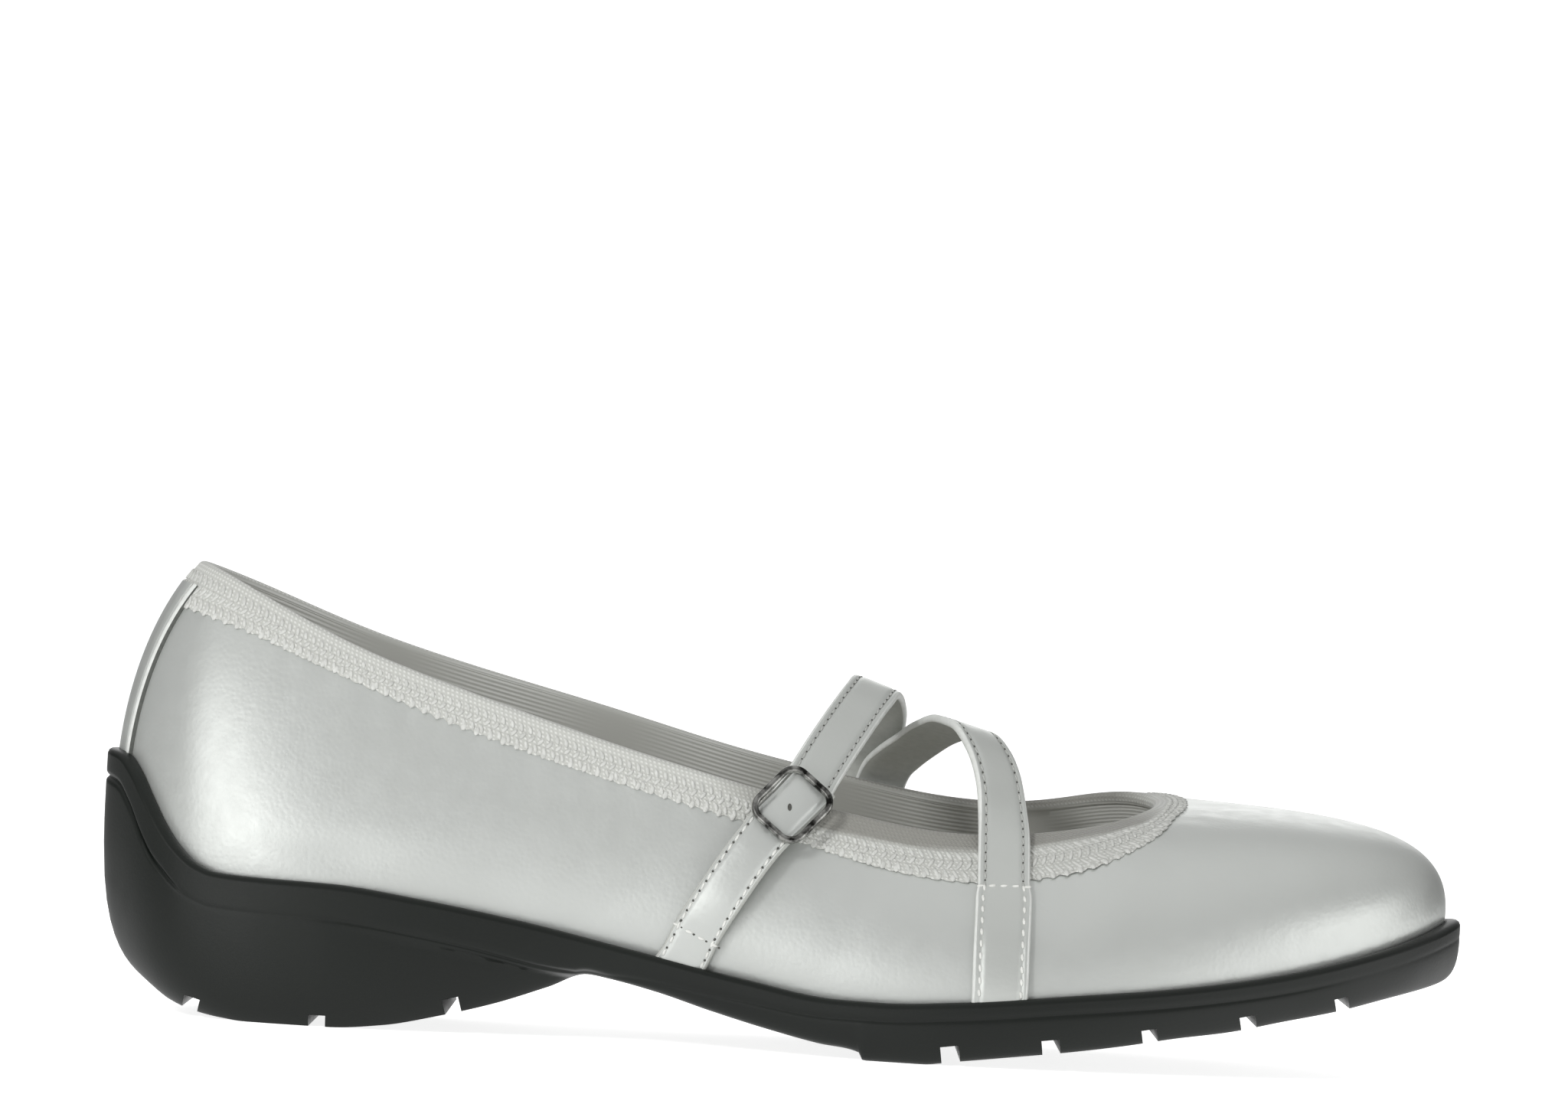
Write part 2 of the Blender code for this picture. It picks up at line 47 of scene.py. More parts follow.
UP = np.array([0.0, 0.0, 1.0])
HUG = 0.12  # gap between pieces that are cemented together
FOOT_GAP = 0.3  # from the footbed up to the foot of the upper
RIM_WALL = 2.8  # width of the rim's top
SOLE_SHOULDER, SOLE_ROUNDING = 0.45, 0.12  # pull on the wall's curve below the rim and above the tread
SOLE_COLUMNS = 420  # along each side
CUP_ROWS = (0.0, 0.35, 0.7, 0.93)  # shares of the way up the inside of the cup
TO_LINE, FROM_LINE, TO_TREAD = (9, 3.5), (11, 4.5), (10, 2.5)  # rows on its wall, and how closely they crowd
SHARP_ANGLE = 40  # edges turn sharp from here, in degrees
LATERAL, MEDIAL = "lateral", "medial"

# One row for each pair of ribs from heel to toe. A rib climbs from the foot of the upper to the topline.
Rib = namedtuple(
    "Rib",
    "x medial lateral inset tuck top_x top_medial top_lateral top_z_medial top_z_lateral "
    "swell rise reach drop band",
)
RIBS = [
    Rib(0, 0, 0, 6.3, 10.0, 16.0, 0, 0, 84.2, 84.2, 6.2, 0.22, 1.63, 0.28, 10.0),
    Rib(9, 20, -20, 6.0, 7.5, 20.0, 9.5, -9.5, 82.8, 82.6, 6.0, 0.24, 1.30, 0.28, 9.0),
    Rib(26, 29.5, -30, 5.2, 4.5, 31.0, 16.5, -16.5, 78.7, 77.2, 5.0, 0.28, 0.90, 0.30, 7.5),
    Rib(48, 31, -33, 4.8, 3.5, 48.0, 21.2, -21.5, 72.4, 69.5, 4.5, 0.30, 0.75, 0.33, 6.2),
    Rib(72, 29.5, -33.5, 4.7, 3.5, 70.0, 23.6, -24.5, 66.2, 62.2, 4.5, 0.32, 0.70, 0.33, 6.2),
    Rib(97, 28.5, -34.5, 4.7, 3.5, 93.0, 24.8, -26.5, 60.5, 55.4, 4.5, 0.33, 0.65, 0.33, 6.6),
    Rib(122, 31, -37.5, 4.7, 3.5, 116.0, 25.4, -28.0, 54.7, 49.6, 4.5, 0.35, 0.60, 0.33, 7.2),
    Rib(147, 37.5, -42, 4.7, 3.5, 138.0, 25.6, -27.5, 50.4, 44.9, 4.5, 0.38, 0.50, 0.30, 8.5),
    Rib(171, 43, -44, 4.7, 3.5, 157.0, 24.6, -25.0, 47.6, 42.2, 4.5, 0.45, 0.48, 0.25, 10.0),
    Rib(194, 44.5, -41.5, 4.9, 3.6, 172.0, 22.2, -21.8, 47.4, 42.6, 5.0, 0.52, 0.55, 0.15, 11.2),
    Rib(215, 41.2, -36, 5.3, 4.0, 183.0, 18.6, -17.4, 49.2, 44.2, 5.5, 0.62, 0.66, 0.07, 10.2),
    Rib(234, 34.5, -28.0, 5.8, 4.5, 190.0, 14.0, -12.0, 50.0, 46.1, 6.5, 0.73, 0.76, 0.01, 8.2),
    Rib(249, 22.0, -15.0, 6.2, 5.0, 194.2, 8.4, -5.6, 49.6, 47.8, 7.2, 0.82, 0.82, -0.03, 6.8),
    Rib(256, 4, 4, 6.5, 5.5, 195.5, 1.8, 1.8, 48.9, 48.9, 7.5, 0.87, 0.83, -0.04, 6.5),
]
TOE_T = len(RIBS) - 1  # t runs 0 at the heel, along the lateral side to the toe, and back medially
FULL_T = 2 * TOE_T


def between(f, start, end, slope_start, slope_end, step=1):
    """A cubic at a share f of the way from start to end, with its slopes at both."""
    return (
        (1 + 2 * f) * (1 - f) ** 2 * start + f * (1 - f) ** 2 * step * slope_start
        + f * f * (3 - 2 * f) * end - f * f * (1 - f) * step * slope_end
    )


def profile(rows):
    """A smooth function through rows of place and value, with no overshoot between them."""
    places, values = np.asarray(rows, float).T
    steps, rises = np.diff(places), np.diff(values) / np.diff(places)
    slopes = np.concatenate([rises[:1], rises[:-1] * 0, rises[-1:]])
    for k in range(1, len(places) - 1):
        if rises[k - 1] * rises[k] > 0:
            near, far = 2 * steps[k] + steps[k - 1], steps[k] + 2 * steps[k - 1]
            slopes[k] = (near + far) / (near / rises[k - 1] + far / rises[k])

    def at(x):
        x = np.clip(x, places[0], places[-1])
        k = np.clip(np.searchsorted(places, x, side="right") - 1, 0, len(steps) - 1)
        return between((x - places[k]) / steps[k], values[k], values[k + 1], slopes[k], slopes[k + 1], steps[k])

    return at


# Heights along the shoe: the rubber rim, the bed that the foot stands on and the tread.
rim_top = profile([
    (0, 48.3), (2.5, 47.5), (5, 44.9), (8, 40.2), (11, 35.5), (14, 31.8), (18, 28.6), (22, 27.2), (27, 26.8),
    (45, 26.3), (60, 24.6), (80, 21.5), (100, 17.5), (120, 13.6), (138, 10.9), (146, 10.8), (160, 11.7),
    (180, 13.9), (200, 16.2), (220, 19.5), (240, 24.6), (250, 28.0), (256, 30.4),
])
footbed = profile([
    (0, 18.5), (30, 18.0), (60, 17.0), (90, 15.8), (115, 11.2), (140, 6.4), (160, 6.3), (177, 7.8), (195, 10.0),
    (214, 13.8), (231, 17.6), (245, 21.0), (256, 24.0),
])
underside = profile([
    (10, 5.5), (15, 2.7), (20, 1.2), (25, 0.4), (30, 0), (45, 0), (55, 0.9), (65, 3.1), (75, 5.9), (85, 9.6),
    (92, 12.4), (96, 11.9), (105, 10.0), (115, 7.2), (125, 4.7), (135, 2.6), (142.6, 1.4), (143.4, 0), (154, 0),
    (160, 0.8), (170, 2.2), (180, 3.6), (190, 5.2), (200, 7.1), (210, 8.7), (220, 11.0), (230, 13.2),
    (240, 15.9), (251, 18.6),
])
# The moulded line under the rim: how far below the rim it runs, how deep it is cut, and how far the wall
# below it stands back, as it does where the heel wedge tucks in under the shank.
line_drop = profile([
    (0, 5.2), (3, 5.6), (5, 6.3), (9.5, 7.6), (13, 6.8), (20, 6.5), (48, 6.7), (70, 7.1), (82, 7.5), (92, 6.6),
    (100, 5.2), (115, 4.2), (130, 3.6), (142, 3.3), (256, 3.3),
])
line_depth = profile([
    (0, 0.6), (3, 0.75), (9, 0.8), (13, 0.5), (18, 0.06), (40, 0.06), (50, 0.3), (70, 0.7), (85, 1.0),
    (92, 1.0), (97, 0.25), (110, 0.2), (140, 0.25), (160, 0.3), (222, 0.25), (240, 0.04), (256, 0.04),
])
line_setback = profile([(0, 0.0), (42, 0.0), (60, 1.0), (78, 2.2), (90, 3.0), (94, 2.0), (98, 0.0), (256, 0.0)])
RIM_BAND, LINE_HALF, SETBACK_DROP = 1.2, 0.45, 1.4  # plain band over it, its half width, depth of the setback
LINE_LOWEST = 0.92  # of the wall's height
# How full the wall is low down.
sole_bulge = profile([(0, 1.06), (25, 1.0), (50, 0.92), (225, 0.92), (246, 1.08), (256, 1.14)])

Groove = namedtuple("Groove", "x wide deep")
GROOVES = [
    Groove(19.1, 3.1, 2.4), Groove(43.1, 3.1, 2.1), Groove(68.0, 3.0, 2.8), Groove(159.4, 3.4, 3.0),
    Groove(177.6, 3.3, 2.6), Groove(195.6, 2.8, 2.4), Groove(213.7, 2.9, 2.4), Groove(231.2, 2.6, 2.4),
]
GROOVE_REACH = 110.0  # length of the groove cutters, past both sides
T_STEP = 0.01  # for taking a slope along t


def closed_curve(points):
    """A smooth function of t once round the points, with a point at each whole t."""
    points = np.asarray(points, float)
    count = len(points)
    ring = 4 * np.eye(count) + np.roll(np.eye(count), 1, 0) + np.roll(np.eye(count), -1, 0)
    slopes = np.linalg.solve(ring, 3 * (np.roll(points, -1, 0) - np.roll(points, 1, 0)))

    def at(t):
        t = np.asarray(t, float) % count
        start = np.floor(t).astype(int) % count
        end = (start + 1) % count
        return between((t - np.floor(t))[..., None], points[start], points[end], slopes[start], slopes[end])

    return at


def unit(vectors):
    return vectors / np.linalg.norm(vectors, axis=-1, keepdims=True)


def flat_normal(curve, t):
    """Outward direction in plan of a closed curve that runs anticlockwise."""
    along = (curve(np.asarray(t) + T_STEP) - curve(np.asarray(t) - T_STEP))[..., :2]
    return unit(np.stack([along[..., 1], -along[..., 0], np.zeros(along.shape[:-1])], -1))


def round_rows(lateral, medial=None):
    """Row values in the order of t: heel, lateral side, toe, medial side."""
    lateral = np.asarray(lateral, float)
    medial = lateral if medial is None else np.asarray(medial, float)
    return np.concatenate([lateral, medial[-2:0:-1]])


def rib_column(name):
    return round_rows([getattr(rib, name) for rib in RIBS])[:, None]


outline_points = round_rows([(rib.x, rib.lateral, 0) for rib in RIBS], [(rib.x, rib.medial, 0) for rib in RIBS])
outline = closed_curve(outline_points)
outward = flat_normal(outline, np.arange(FULL_T))
sole_edge = closed_curve(outline_points - outward * rib_column("tuck"))
foot_points = outline_points - outward * rib_column("inset")
foot_points[:, 2] = footbed(foot_points[:, 0]) + FOOT_GAP
top_points = round_rows(
    [(rib.top_x, rib.top_lateral, rib.top_z_lateral) for rib in RIBS],
    [(rib.top_x, rib.top_medial, rib.top_z_medial) for rib in RIBS],
)
rib_height = (top_points - foot_points)[:, 2:]
foot_line, swell_line, reach_line, top_line = (
    closed_curve(points) for points in (
        foot_points,
        foot_points + outward * rib_column("swell") + UP * rib_column("rise") * rib_height,
        top_points + (foot_points - top_points) * (1, 1, 0) * rib_column("reach")
        - UP * rib_column("drop") * rib_height,
        top_points,
    )
)
outline_x = closed_curve(rib_column("x"))


def bezier(v, foot, swell, reach, top):
    """The point at v of a curve that leaves its foot towards swell and comes to its top from reach."""
    return (1 - v) ** 3 * foot + 3 * (1 - v) ** 2 * v * swell + 3 * (1 - v) * v * v * reach + v**3 * top


def wall_point(t, v):
    """Outer face of the upper at t round the shoe and v up the rib, its outward normal and its way up."""
    t, v = np.broadcast_arrays(np.asarray(t, float), np.asarray(v, float))
    v = v[..., None]

    def rib(t):
        return foot_line(t), swell_line(t), reach_line(t), top_line(t)

    foot, swell, reach, top = rib(t)
    climb = (1 - v) ** 2 * (swell - foot) + 2 * (1 - v) * v * (reach - swell) + v * v * (top - reach)
    along = bezier(v, *rib(t + T_STEP)) - bezier(v, *rib(t - T_STEP))
    return bezier(v, foot, swell, reach, top), unit(np.cross(along, climb)), unit(climb)


def off_wall(t, v, lift):
    """Points that stand off the outer face of the upper."""
    point, normal, _ = wall_point(t, v)
    return point + normal * lift


RIB_SAMPLES, CURVE_SAMPLES, WALL_SAMPLES = np.linspace(0, 1, 121), 2001, np.linspace(0, 1, 241)


def look_up(levels, lines, values):
    """For each line of rising numbers, the value where it comes to its level."""
    return np.array([np.interp(level, line, values) for level, line in zip(levels, lines)])


def param_at_height(t, z):
    """v where the rib at t first reaches the height z."""
    heights = np.maximum.accumulate(wall_point(t[:, None], RIB_SAMPLES)[0][..., 2], axis=1)
    return look_up(z, heights, RIB_SAMPLES)


def run_along(points):
    """Length run along a line of points, or along each of several lines."""
    steps = np.diff(points, axis=-2, prepend=points[..., :1, :])
    return np.cumsum(np.linalg.norm(steps, axis=-1), axis=-1)


def even_stations(columns, curve=outline):
    """t at even steps of length along a curve's lateral side, then the same t back along the medial side."""
    t = np.linspace(0, TOE_T, CURVE_SAMPLES)
    run = run_along(curve(t))
    side = np.interp(np.linspace(0, run[-1], columns + 1), run, t)
    return np.concatenate([side, FULL_T - side[-2:0:-1]])


def crowded(rows, pull):
    """Shares from 0 to 1 that lie close together near 0."""
    return np.expm1(pull * np.linspace(0, 1, rows + 1)) / np.expm1(pull)


def grid_faces(rows, columns, wrap_rows):
    """Quads between rows of points that run round. The last row may be joined to the first."""
    row = np.arange(rows if wrap_rows else rows - 1)[:, None]
    column = np.arange(columns)[None, :]
    row_after, column_after = (row + 1) % rows, (column + 1) % columns
    corners = [row * columns + column, row * columns + column_after,
               row_after * columns + column_after, row_after * columns + column]
    return np.stack(np.broadcast_arrays(*corners), -1).reshape(-1, 4).tolist()


def finish_mesh(mesh):
    """Drops spare corners along edges, turns faces outwards and smooths all but the sharp edges."""
    shell = bmesh.new()
    shell.from_mesh(mesh)
    bmesh.ops.dissolve_verts(shell, verts=[corner for corner in shell.verts if len(corner.link_edges) == 2])
    bmesh.ops.recalc_face_normals(shell, faces=shell.faces)
    shell.to_mesh(mesh)
    shell.free()
    mesh.shade_smooth()
    mesh.set_sharp_from_angle(angle=math.radians(SHARP_ANGLE))
    return mesh


def make_mesh(name, rows, faces, uv=None, face_slots=None):
    """A closed mesh in the frame, from points in mm or rows of them."""
    mesh = bpy.data.meshes.new(name)
    mesh.from_pydata(((np.reshape(rows, (-1, 3)) - ORIGIN) * MM).tolist(), [], faces)
    if uv is not None:
        mesh.uv_layers.new(name="cloth").data.foreach_set("uv", np.asarray(uv, float).ravel())
    if face_slots is not None:
        mesh.polygons.foreach_set("material_index", np.asarray(face_slots, np.int32))
    return finish_mesh(mesh)


def add_object(name, data):
    made = bpy.data.objects.new(name, data)
    bpy.context.scene.collection.objects.link(made)
    return made


def fit_piece(mesh, slot, materials, *nodes):
    """Puts a finished mesh on the shoe, in place of the solids that it stands for."""
    piece = add_object(mesh.name, mesh)
    if not mesh.materials:
        for material in materials:
            mesh.materials.append(material)
    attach(piece, "root")
    if nodes:
        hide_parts(*nodes)


def linear(colour):
    """Linear RGBA of an sRGB hex colour."""
    parts = [int(colour[k:k + 2], 16) / 255 for k in (1, 3, 5)]
    return (*[c / 12.92 if c <= 0.04045 else ((c + 0.055) / 1.055) ** 2.4 for c in parts], 1)


def add_node(tree, kind, inputs=(), to=None, **settings):
    """The result of a new node with its settings, its inputs set or linked, and its result linked on."""
    made = tree.nodes.new(kind)
    for name, value in settings.items():
        setattr(made, name, value)
    for name, value in dict(inputs).items():
        if isinstance(value, bpy.types.NodeSocket):
            tree.links.new(value, made.inputs[name])
        else:
            made.inputs[name].default_value = value
    result = next((socket for socket in made.outputs if socket.enabled), None)
    if to:
        tree.links.new(result, to)
    return result


def start_material(name, **sockets):
    """A material with its Principled shader set, and its node tree to add a pattern to."""
    material = bpy.data.materials.new(name)
    material.use_nodes = True
    shader = material.node_tree.nodes["Principled BSDF"]
    for socket, value in sockets.items():
        shader.inputs[socket.replace("_", " ")].default_value = value
    return material, material.node_tree, shader


FADE = ("Value", "From Min", "From Max", "To Min", "To Max")  # inputs of a Map Range node


def mottled(name, patch, detail, dull, bright, **sockets):
    """A material that drifts between two tones in patches of a size in mm, and what a further pattern needs."""
    material, tree, shader = start_material(name, **sockets)
    place = add_node(tree, "ShaderNodeTexCoord").node.outputs["Object"]
    patches = add_node(tree, "ShaderNodeTexNoise", {"Vector": place, "Scale": 1 / (patch * MM), "Detail": detail})
    add_node(tree, "ShaderNodeMix", {"Factor": patches, "A": linear(dull), "B": linear(bright)},
             shader.inputs["Base Color"], data_type="RGBA")
    return material, tree, shader, place, patches


# Thermoplastic rubber from a spark-eroded mould: near black, satin, with a fine even grain of about 0.6 mm
# that breaks the highlight, and slightly rubbed patches.
rubber, tree, shader, place, rubbed_and_glint_patches = mottled(
    "moulded_black_rubber", 20, 3, "#0b0f0c", "#121713", IOR=1.52, Specular_IOR_Level=0.4)
grain = add_node(tree, "ShaderNodeTexNoise", {"Vector": place, "Scale": 1 / (0.6 * MM), "Detail": 2})
add_node(tree, "ShaderNodeMapRange", zip(FADE, (rubbed_and_glint_patches, 0.3, 0.7, 0.36, 0.47)), shader.inputs["Roughness"])
add_node(tree, "ShaderNodeBump", {"Height": grain, "Strength": 0.25, "Distance": 0.08 * MM},
         shader.inputs["Normal"])

sole_t = even_stations(SOLE_COLUMNS)
sole_x = outline_x(sole_t)[:, 0]
rim_param = param_at_height(sole_t, rim_top(sole_x))
sole_rows = [off_wall(sole_t, rim_param * share, HUG) for share in CUP_ROWS]
sole_rows[0][:, 2] = footbed(sole_rows[0][:, 0])
seat, out = off_wall(sole_t, rim_param, HUG), flat_normal(foot_line, sole_t)
RIM_LIP = [(0.0, 0.5), (0.06, 0.2), (0.2, 0.03), (0.45, 0.0), (0.72, 0.08), (0.9, 0.4), (1.0, 1.0)]
for share, dip in RIM_LIP:  # share of the way across the rim, and how far it is rounded down there
    sole_rows.append(seat + out * RIM_WALL * share - UP * dip)
rim, edge = seat + out * RIM_WALL, sole_edge(sole_t)
edge[:, 2] = underside(edge[:, 0])
wall_height = (rim - edge)[:, 2:]
steer = (
    rim, rim - UP * SOLE_SHOULDER * wall_height,
    edge + (rim - edge) * (1, 1, 0) * sole_bulge(sole_x)[:, None] + UP * SOLE_ROUNDING * wall_height, edge,
)
drop_samples = rim[:, 2] - bezier(WALL_SAMPLES[:, None, None], *steer)[..., 2]
line = np.minimum(line_drop(sole_x), LINE_LOWEST * wall_height[:, 0])
drops = [RIM_BAND + (line - RIM_BAND) * (1 - share) for share in crowded(*TO_LINE)[::-1]]
below_line = np.concatenate([crowded(*FROM_LINE)[1:] / 2, 1 - crowded(*TO_TREAD)[-2::-1] / 2])
drops += [line + (wall_height[:, 0] - line) * share for share in below_line]
for drop in drops:
    w = look_up(drop, drop_samples.T, WALL_SAMPLES)
    below = np.clip((drop - line) / SETBACK_DROP, 0, 1)
    dent = line_depth(sole_x) * np.exp(-(((drop - line) / LINE_HALF) ** 2))
    dent += line_setback(sole_x) * below**2 * (3 - 2 * below)
    sole_rows.append(bezier(w[:, None], *steer) - out * dent[:, None])

count = len(sole_t)
faces = grid_faces(len(sole_rows), count, False)
for start in (0, (len(sole_rows) - 1) * count):  # rungs across the footbed and the underside
    for k in range(count // 2):
        rung = [k, k + 1, count - k - 1, (count - k) % count]
        faces.append([start + corner for corner in dict.fromkeys(rung)])
sole_blank = add_object("sole_blank", make_mesh("sole_blank", sole_rows, faces))

cutter_points, cutter_faces = [], []
for groove in GROOVES:  # square to the underside at its place
    half = groove.wide / 2
    slope = math.atan((underside(groove.x + half) - underside(groove.x - half)) / groove.wide)
    ahead = np.array([math.cos(slope), 0, math.sin(slope)])
    lift = np.array([-math.sin(slope), 0, math.cos(slope)])
    middle = np.array([groove.x, 0, underside(groove.x)])
    start = len(cutter_points)
    for side in (-1, 1):
        for along, up in ((-1, -1), (1, -1), (1, 1), (-1, 1)):
            cutter_points.append(middle + ahead * half * along + lift * groove.deep * up
                                 + np.array([0, side * GROOVE_REACH / 2, 0]))
    for quad in ((0, 1, 2, 3), (4, 5, 6, 7), (0, 1, 5, 4), (1, 2, 6, 5), (2, 3, 7, 6), (3, 0, 4, 7)):
        cutter_faces.append([start + corner for corner in quad])
groove_cutter = add_object("groove_cutter", make_mesh("groove_cutter", cutter_points, cutter_faces))
cut = sole_blank.modifiers.new("tread_grooves", "BOOLEAN")
cut.object, cut.solver = groove_cutter, "MANIFOLD"


def plain_mesh(source, name):
    """The evaluated mesh of an object, which is then removed with its modifiers."""
    mesh = bpy.data.meshes.new_from_object(source.evaluated_get(bpy.context.evaluated_depsgraph_get()))
    mesh.name = name
    bpy.data.objects.remove(source)
    return mesh


sole_mesh = finish_mesh(plain_mesh(sole_blank, "rubber_outsole"))
bpy.data.objects.remove(groove_cutter)
sole_mesh.materials.clear()  # the cut leaves an empty slot
fit_piece(sole_mesh, "black_rubber", [rubber], "outsole")

# Insole: a board covered with grey lining leather, laid on the footbed inside the foot of the upper and held
# by cement. It dishes a little towards its edge.
INSOLE_THICK, INSOLE_DISH, INSOLE_EDGE = 3.0, 0.9, 2.1  # the last is how far its edge stays inside the upper
INSOLE_SECTIONS = 160

# Lining leather: matt, warm grey, with a faint pebble grain of about 1 mm and uneven dye.
insole_leather, tree, shader, place, _ = mottled(
    "grey_insole_leather", 15, 4, "#b9b7ae", "#cbc9c0", Roughness=0.62)
pebble = add_node(tree, "ShaderNodeTexVoronoi", {"Vector": place, "Scale": 1 / (1.1 * MM)}, feature="SMOOTH_F1")
add_node(tree, "ShaderNodeBump", {"Height": pebble, "Strength": 0.3, "Distance": 0.1 * MM},
         shader.inputs["Normal"])

# Across the board: place from one edge to the middle, share of the thickness and share of the dish.
INSOLE_HALF = [
    (0.0, 0.0, 0.0), (0.0, 0.7, 0.9), (0.008, 0.93, 1.0), (0.03, 1.0, 0.9), (0.1, 1.0, 0.6), (0.2, 1.0, 0.3),
    (0.35, 1.0, 0.08), (0.5, 1.0, 0.0),
]
insole_across = INSOLE_HALF + [(1 - across, thick, dish) for across, thick, dish in INSOLE_HALF[-2::-1]]
insole_across += [(across, 0.0, 0.0) for across in (0.75, 0.5, 0.25)]
insole_t = even_stations(INSOLE_SECTIONS)
board_edge = foot_line(insole_t) - flat_normal(foot_line, insole_t) * INSOLE_EDGE
sections = []
for k in range(1, INSOLE_SECTIONS):
    lateral, medial = board_edge[k], board_edge[-k]
    for across, thick, dish in insole_across:
        point = lateral + (medial - lateral) * across
        point[2] = footbed(point[0]) + HUG + INSOLE_THICK * thick + INSOLE_DISH * dish
        sections.append(point)


def tube_faces(rows, size):
    """Faces of a tube of rows with so many points each, and of its two flat ends."""
    ends = [list(range(size)), list(range((rows - 1) * size, rows * size))]
    return grid_faces(rows, size, False) + ends


faces = tube_faces(INSOLE_SECTIONS - 1, len(insole_across))
fit_piece(make_mesh("covered_insole", sections, faces), "insole_leather", [insole_leather], "insole")

# Upper: soft silver nappa, cut as one vamp with its quarters, lasted over the form and cemented into the
# sole's cup. Its edge runs up under the binding. Soft dents and the pull of the elastic are shaped.
LEATHER_THICK = 1.1
LEATHER_TOP = 0.985  # where its edge lies under the binding, as a share of the rib
UPPER_COLUMNS = 340
CUP_STEPS, FACE_STEPS, BAND_STEPS = 6, 49, 4  # rows in the sole's cup, on show and under the binding
BACK_EVERY = 3  # its back needs fewer rows


# Silver nappa: calf with a metallic pigment coat. Flakes give a broad soft sheen over a light body colour,
# and the fine grain, about 0.8 mm, only just breaks it.
def silver_nappa(name, dull, bright):
    material, tree, shader, place, _ = mottled(name, 30, 2, dull, bright, Metallic=0.62, IOR=1.5)
    pores = add_node(tree, "ShaderNodeTexVoronoi", {"Vector": place, "Scale": 1 / (0.8 * MM)}, feature="SMOOTH_F1")
    folds = add_node(tree, "ShaderNodeTexNoise", {"Vector": place, "Scale": 1 / (3 * MM), "Detail": 4})
    relief = add_node(tree, "ShaderNodeMath", {0: pores, 1: folds}, operation="ADD")
    add_node(tree, "ShaderNodeMapRange", zip(FADE, (folds, 0.3, 0.7, 0.31, 0.39)), shader.inputs["Roughness"])
    add_node(tree, "ShaderNodeBump", {"Height": relief, "Strength": 0.22, "Distance": 0.12 * MM},
             shader.inputs["Normal"])
    return material


silver = silver_nappa("silver_nappa_leather", "#cdd0cc", "#d9dcd9")

# Soft dents in the leather: where they are seen from the side, which way they run, half length, half width
# and depth. A depth below 0 is a ridge.
Dent = namedtuple("Dent", "side x z turn long wide deep")
DENTS = [
    Dent(LATERAL, 46, 31, 4, 10, 3.6, 0.45), Dent(LATERAL, 62, 36, 12, 14, 6.0, -0.25),
    Dent(LATERAL, 99, 30, 40, 13, 4.0, 0.22), Dent(LATERAL, 140, 26, 68, 11, 4.5, 0.2),
    Dent(LATERAL, 180, 30, 72, 10, 4.0, 0.25), Dent(LATERAL, 189, 31, 70, 10, 4.0, -0.2),
    Dent(MEDIAL, 60, 36, 10, 15, 5.0, 0.3), Dent(MEDIAL, 105, 33, -30, 14, 5.0, 0.3),
    Dent(MEDIAL, 178, 32, 105, 12, 4.5, 0.3), Dent(MEDIAL, 188, 33, 108, 12, 4.5, -0.2),
]
PUCKER_PITCH, PUCKER_DEPTH, PUCKER_FADE = 7.4, 0.06, 4.0  # pull of the elastic below the binding
DRIFT, DRIFT_PITCH = 1.3, 31  # the puckers' spacing drifts slowly

band_height = closed_curve(rib_column("band"))


def param_below_top(t, length):
    """v at a length down each rib from the topline."""
    run = run_along(wall_point(t[:, None], RIB_SAMPLES)[0])
    return look_up(run[:, -1] - length, run, RIB_SAMPLES)


def run_round(points):
    """Length run round a closed line of points, from the first point on to the first again."""
    return run_along(np.concatenate([points, points[:1]]))


upper_t = even_stations(UPPER_COLUMNS)
upper_rim = param_at_height(upper_t, rim_top(outline_x(upper_t)[:, 0]))
band_low = param_below_top(upper_t, band_height(upper_t)[:, 0])
band_run = run_round(wall_point(upper_t, band_low)[0])[:-1]


def leather_row(v, lift):
    """One ring of the leather's face at v on each rib, with its dents and puckers."""
    point, normal, _ = wall_point(upper_t, v)
    push = np.zeros(len(upper_t))
    for dent in DENTS:
        turn = math.radians(dent.turn)
        dx, dz = point[:, 0] - dent.x, point[:, 2] - dent.z
        along, across = dx * math.cos(turn) + dz * math.sin(turn), dz * math.cos(turn) - dx * math.sin(turn)
        there = (upper_t < TOE_T) == (dent.side == LATERAL)
        push -= there * dent.deep * np.exp(-((along / dent.long) ** 2) - (across / dent.wide) ** 2)
    below = np.maximum(0, (band_low - v)) * np.linalg.norm(top_line(upper_t) - foot_line(upper_t), axis=1)
    drift = DRIFT * np.sin(math.tau * band_run / DRIFT_PITCH)
    wave = np.sin(math.tau * band_run / PUCKER_PITCH + drift)
    push += PUCKER_DEPTH * wave * np.exp(-below / PUCKER_FADE) * np.minimum(1, below)
    return point + normal * (push + lift)[:, None]


upper_params = [upper_rim * share for share in np.linspace(0, 1, CUP_STEPS)]
upper_params += [upper_rim + (band_low - upper_rim) * share for share in np.linspace(0, 1, FACE_STEPS)[1:]]
upper_params += [band_low + (LEATHER_TOP - band_low) * share for share in np.linspace(0, 1, BAND_STEPS)[1:]]
upper_rows = [leather_row(v, 0.0) for v in upper_params]
upper_rows += [leather_row(v, -LEATHER_THICK) for v in upper_params[::-BACK_EVERY]]
faces = grid_faces(len(upper_rows), len(upper_t), True)
fit_piece(make_mesh("leather_upper", upper_rows, faces), "silver_leather", [silver], "upper")

# Lining: grey woven lining cemented to the back of the leather, from the insole up to the binding. It lies
# close behind the leather all round and stands on the footbed.
LINING_FROM, LINING_TO = -LEATHER_THICK - 0.05, -LEATHER_THICK - 0.65  # off the leather's face
LINING_FOOT, LINING_RISE = 0.02, 0.95  # shares of the rib
LINING_COLUMNS, LINING_ROWS = 220, 26
WAVE = math.tau / 20  # length of a wave in a wave texture of scale 1

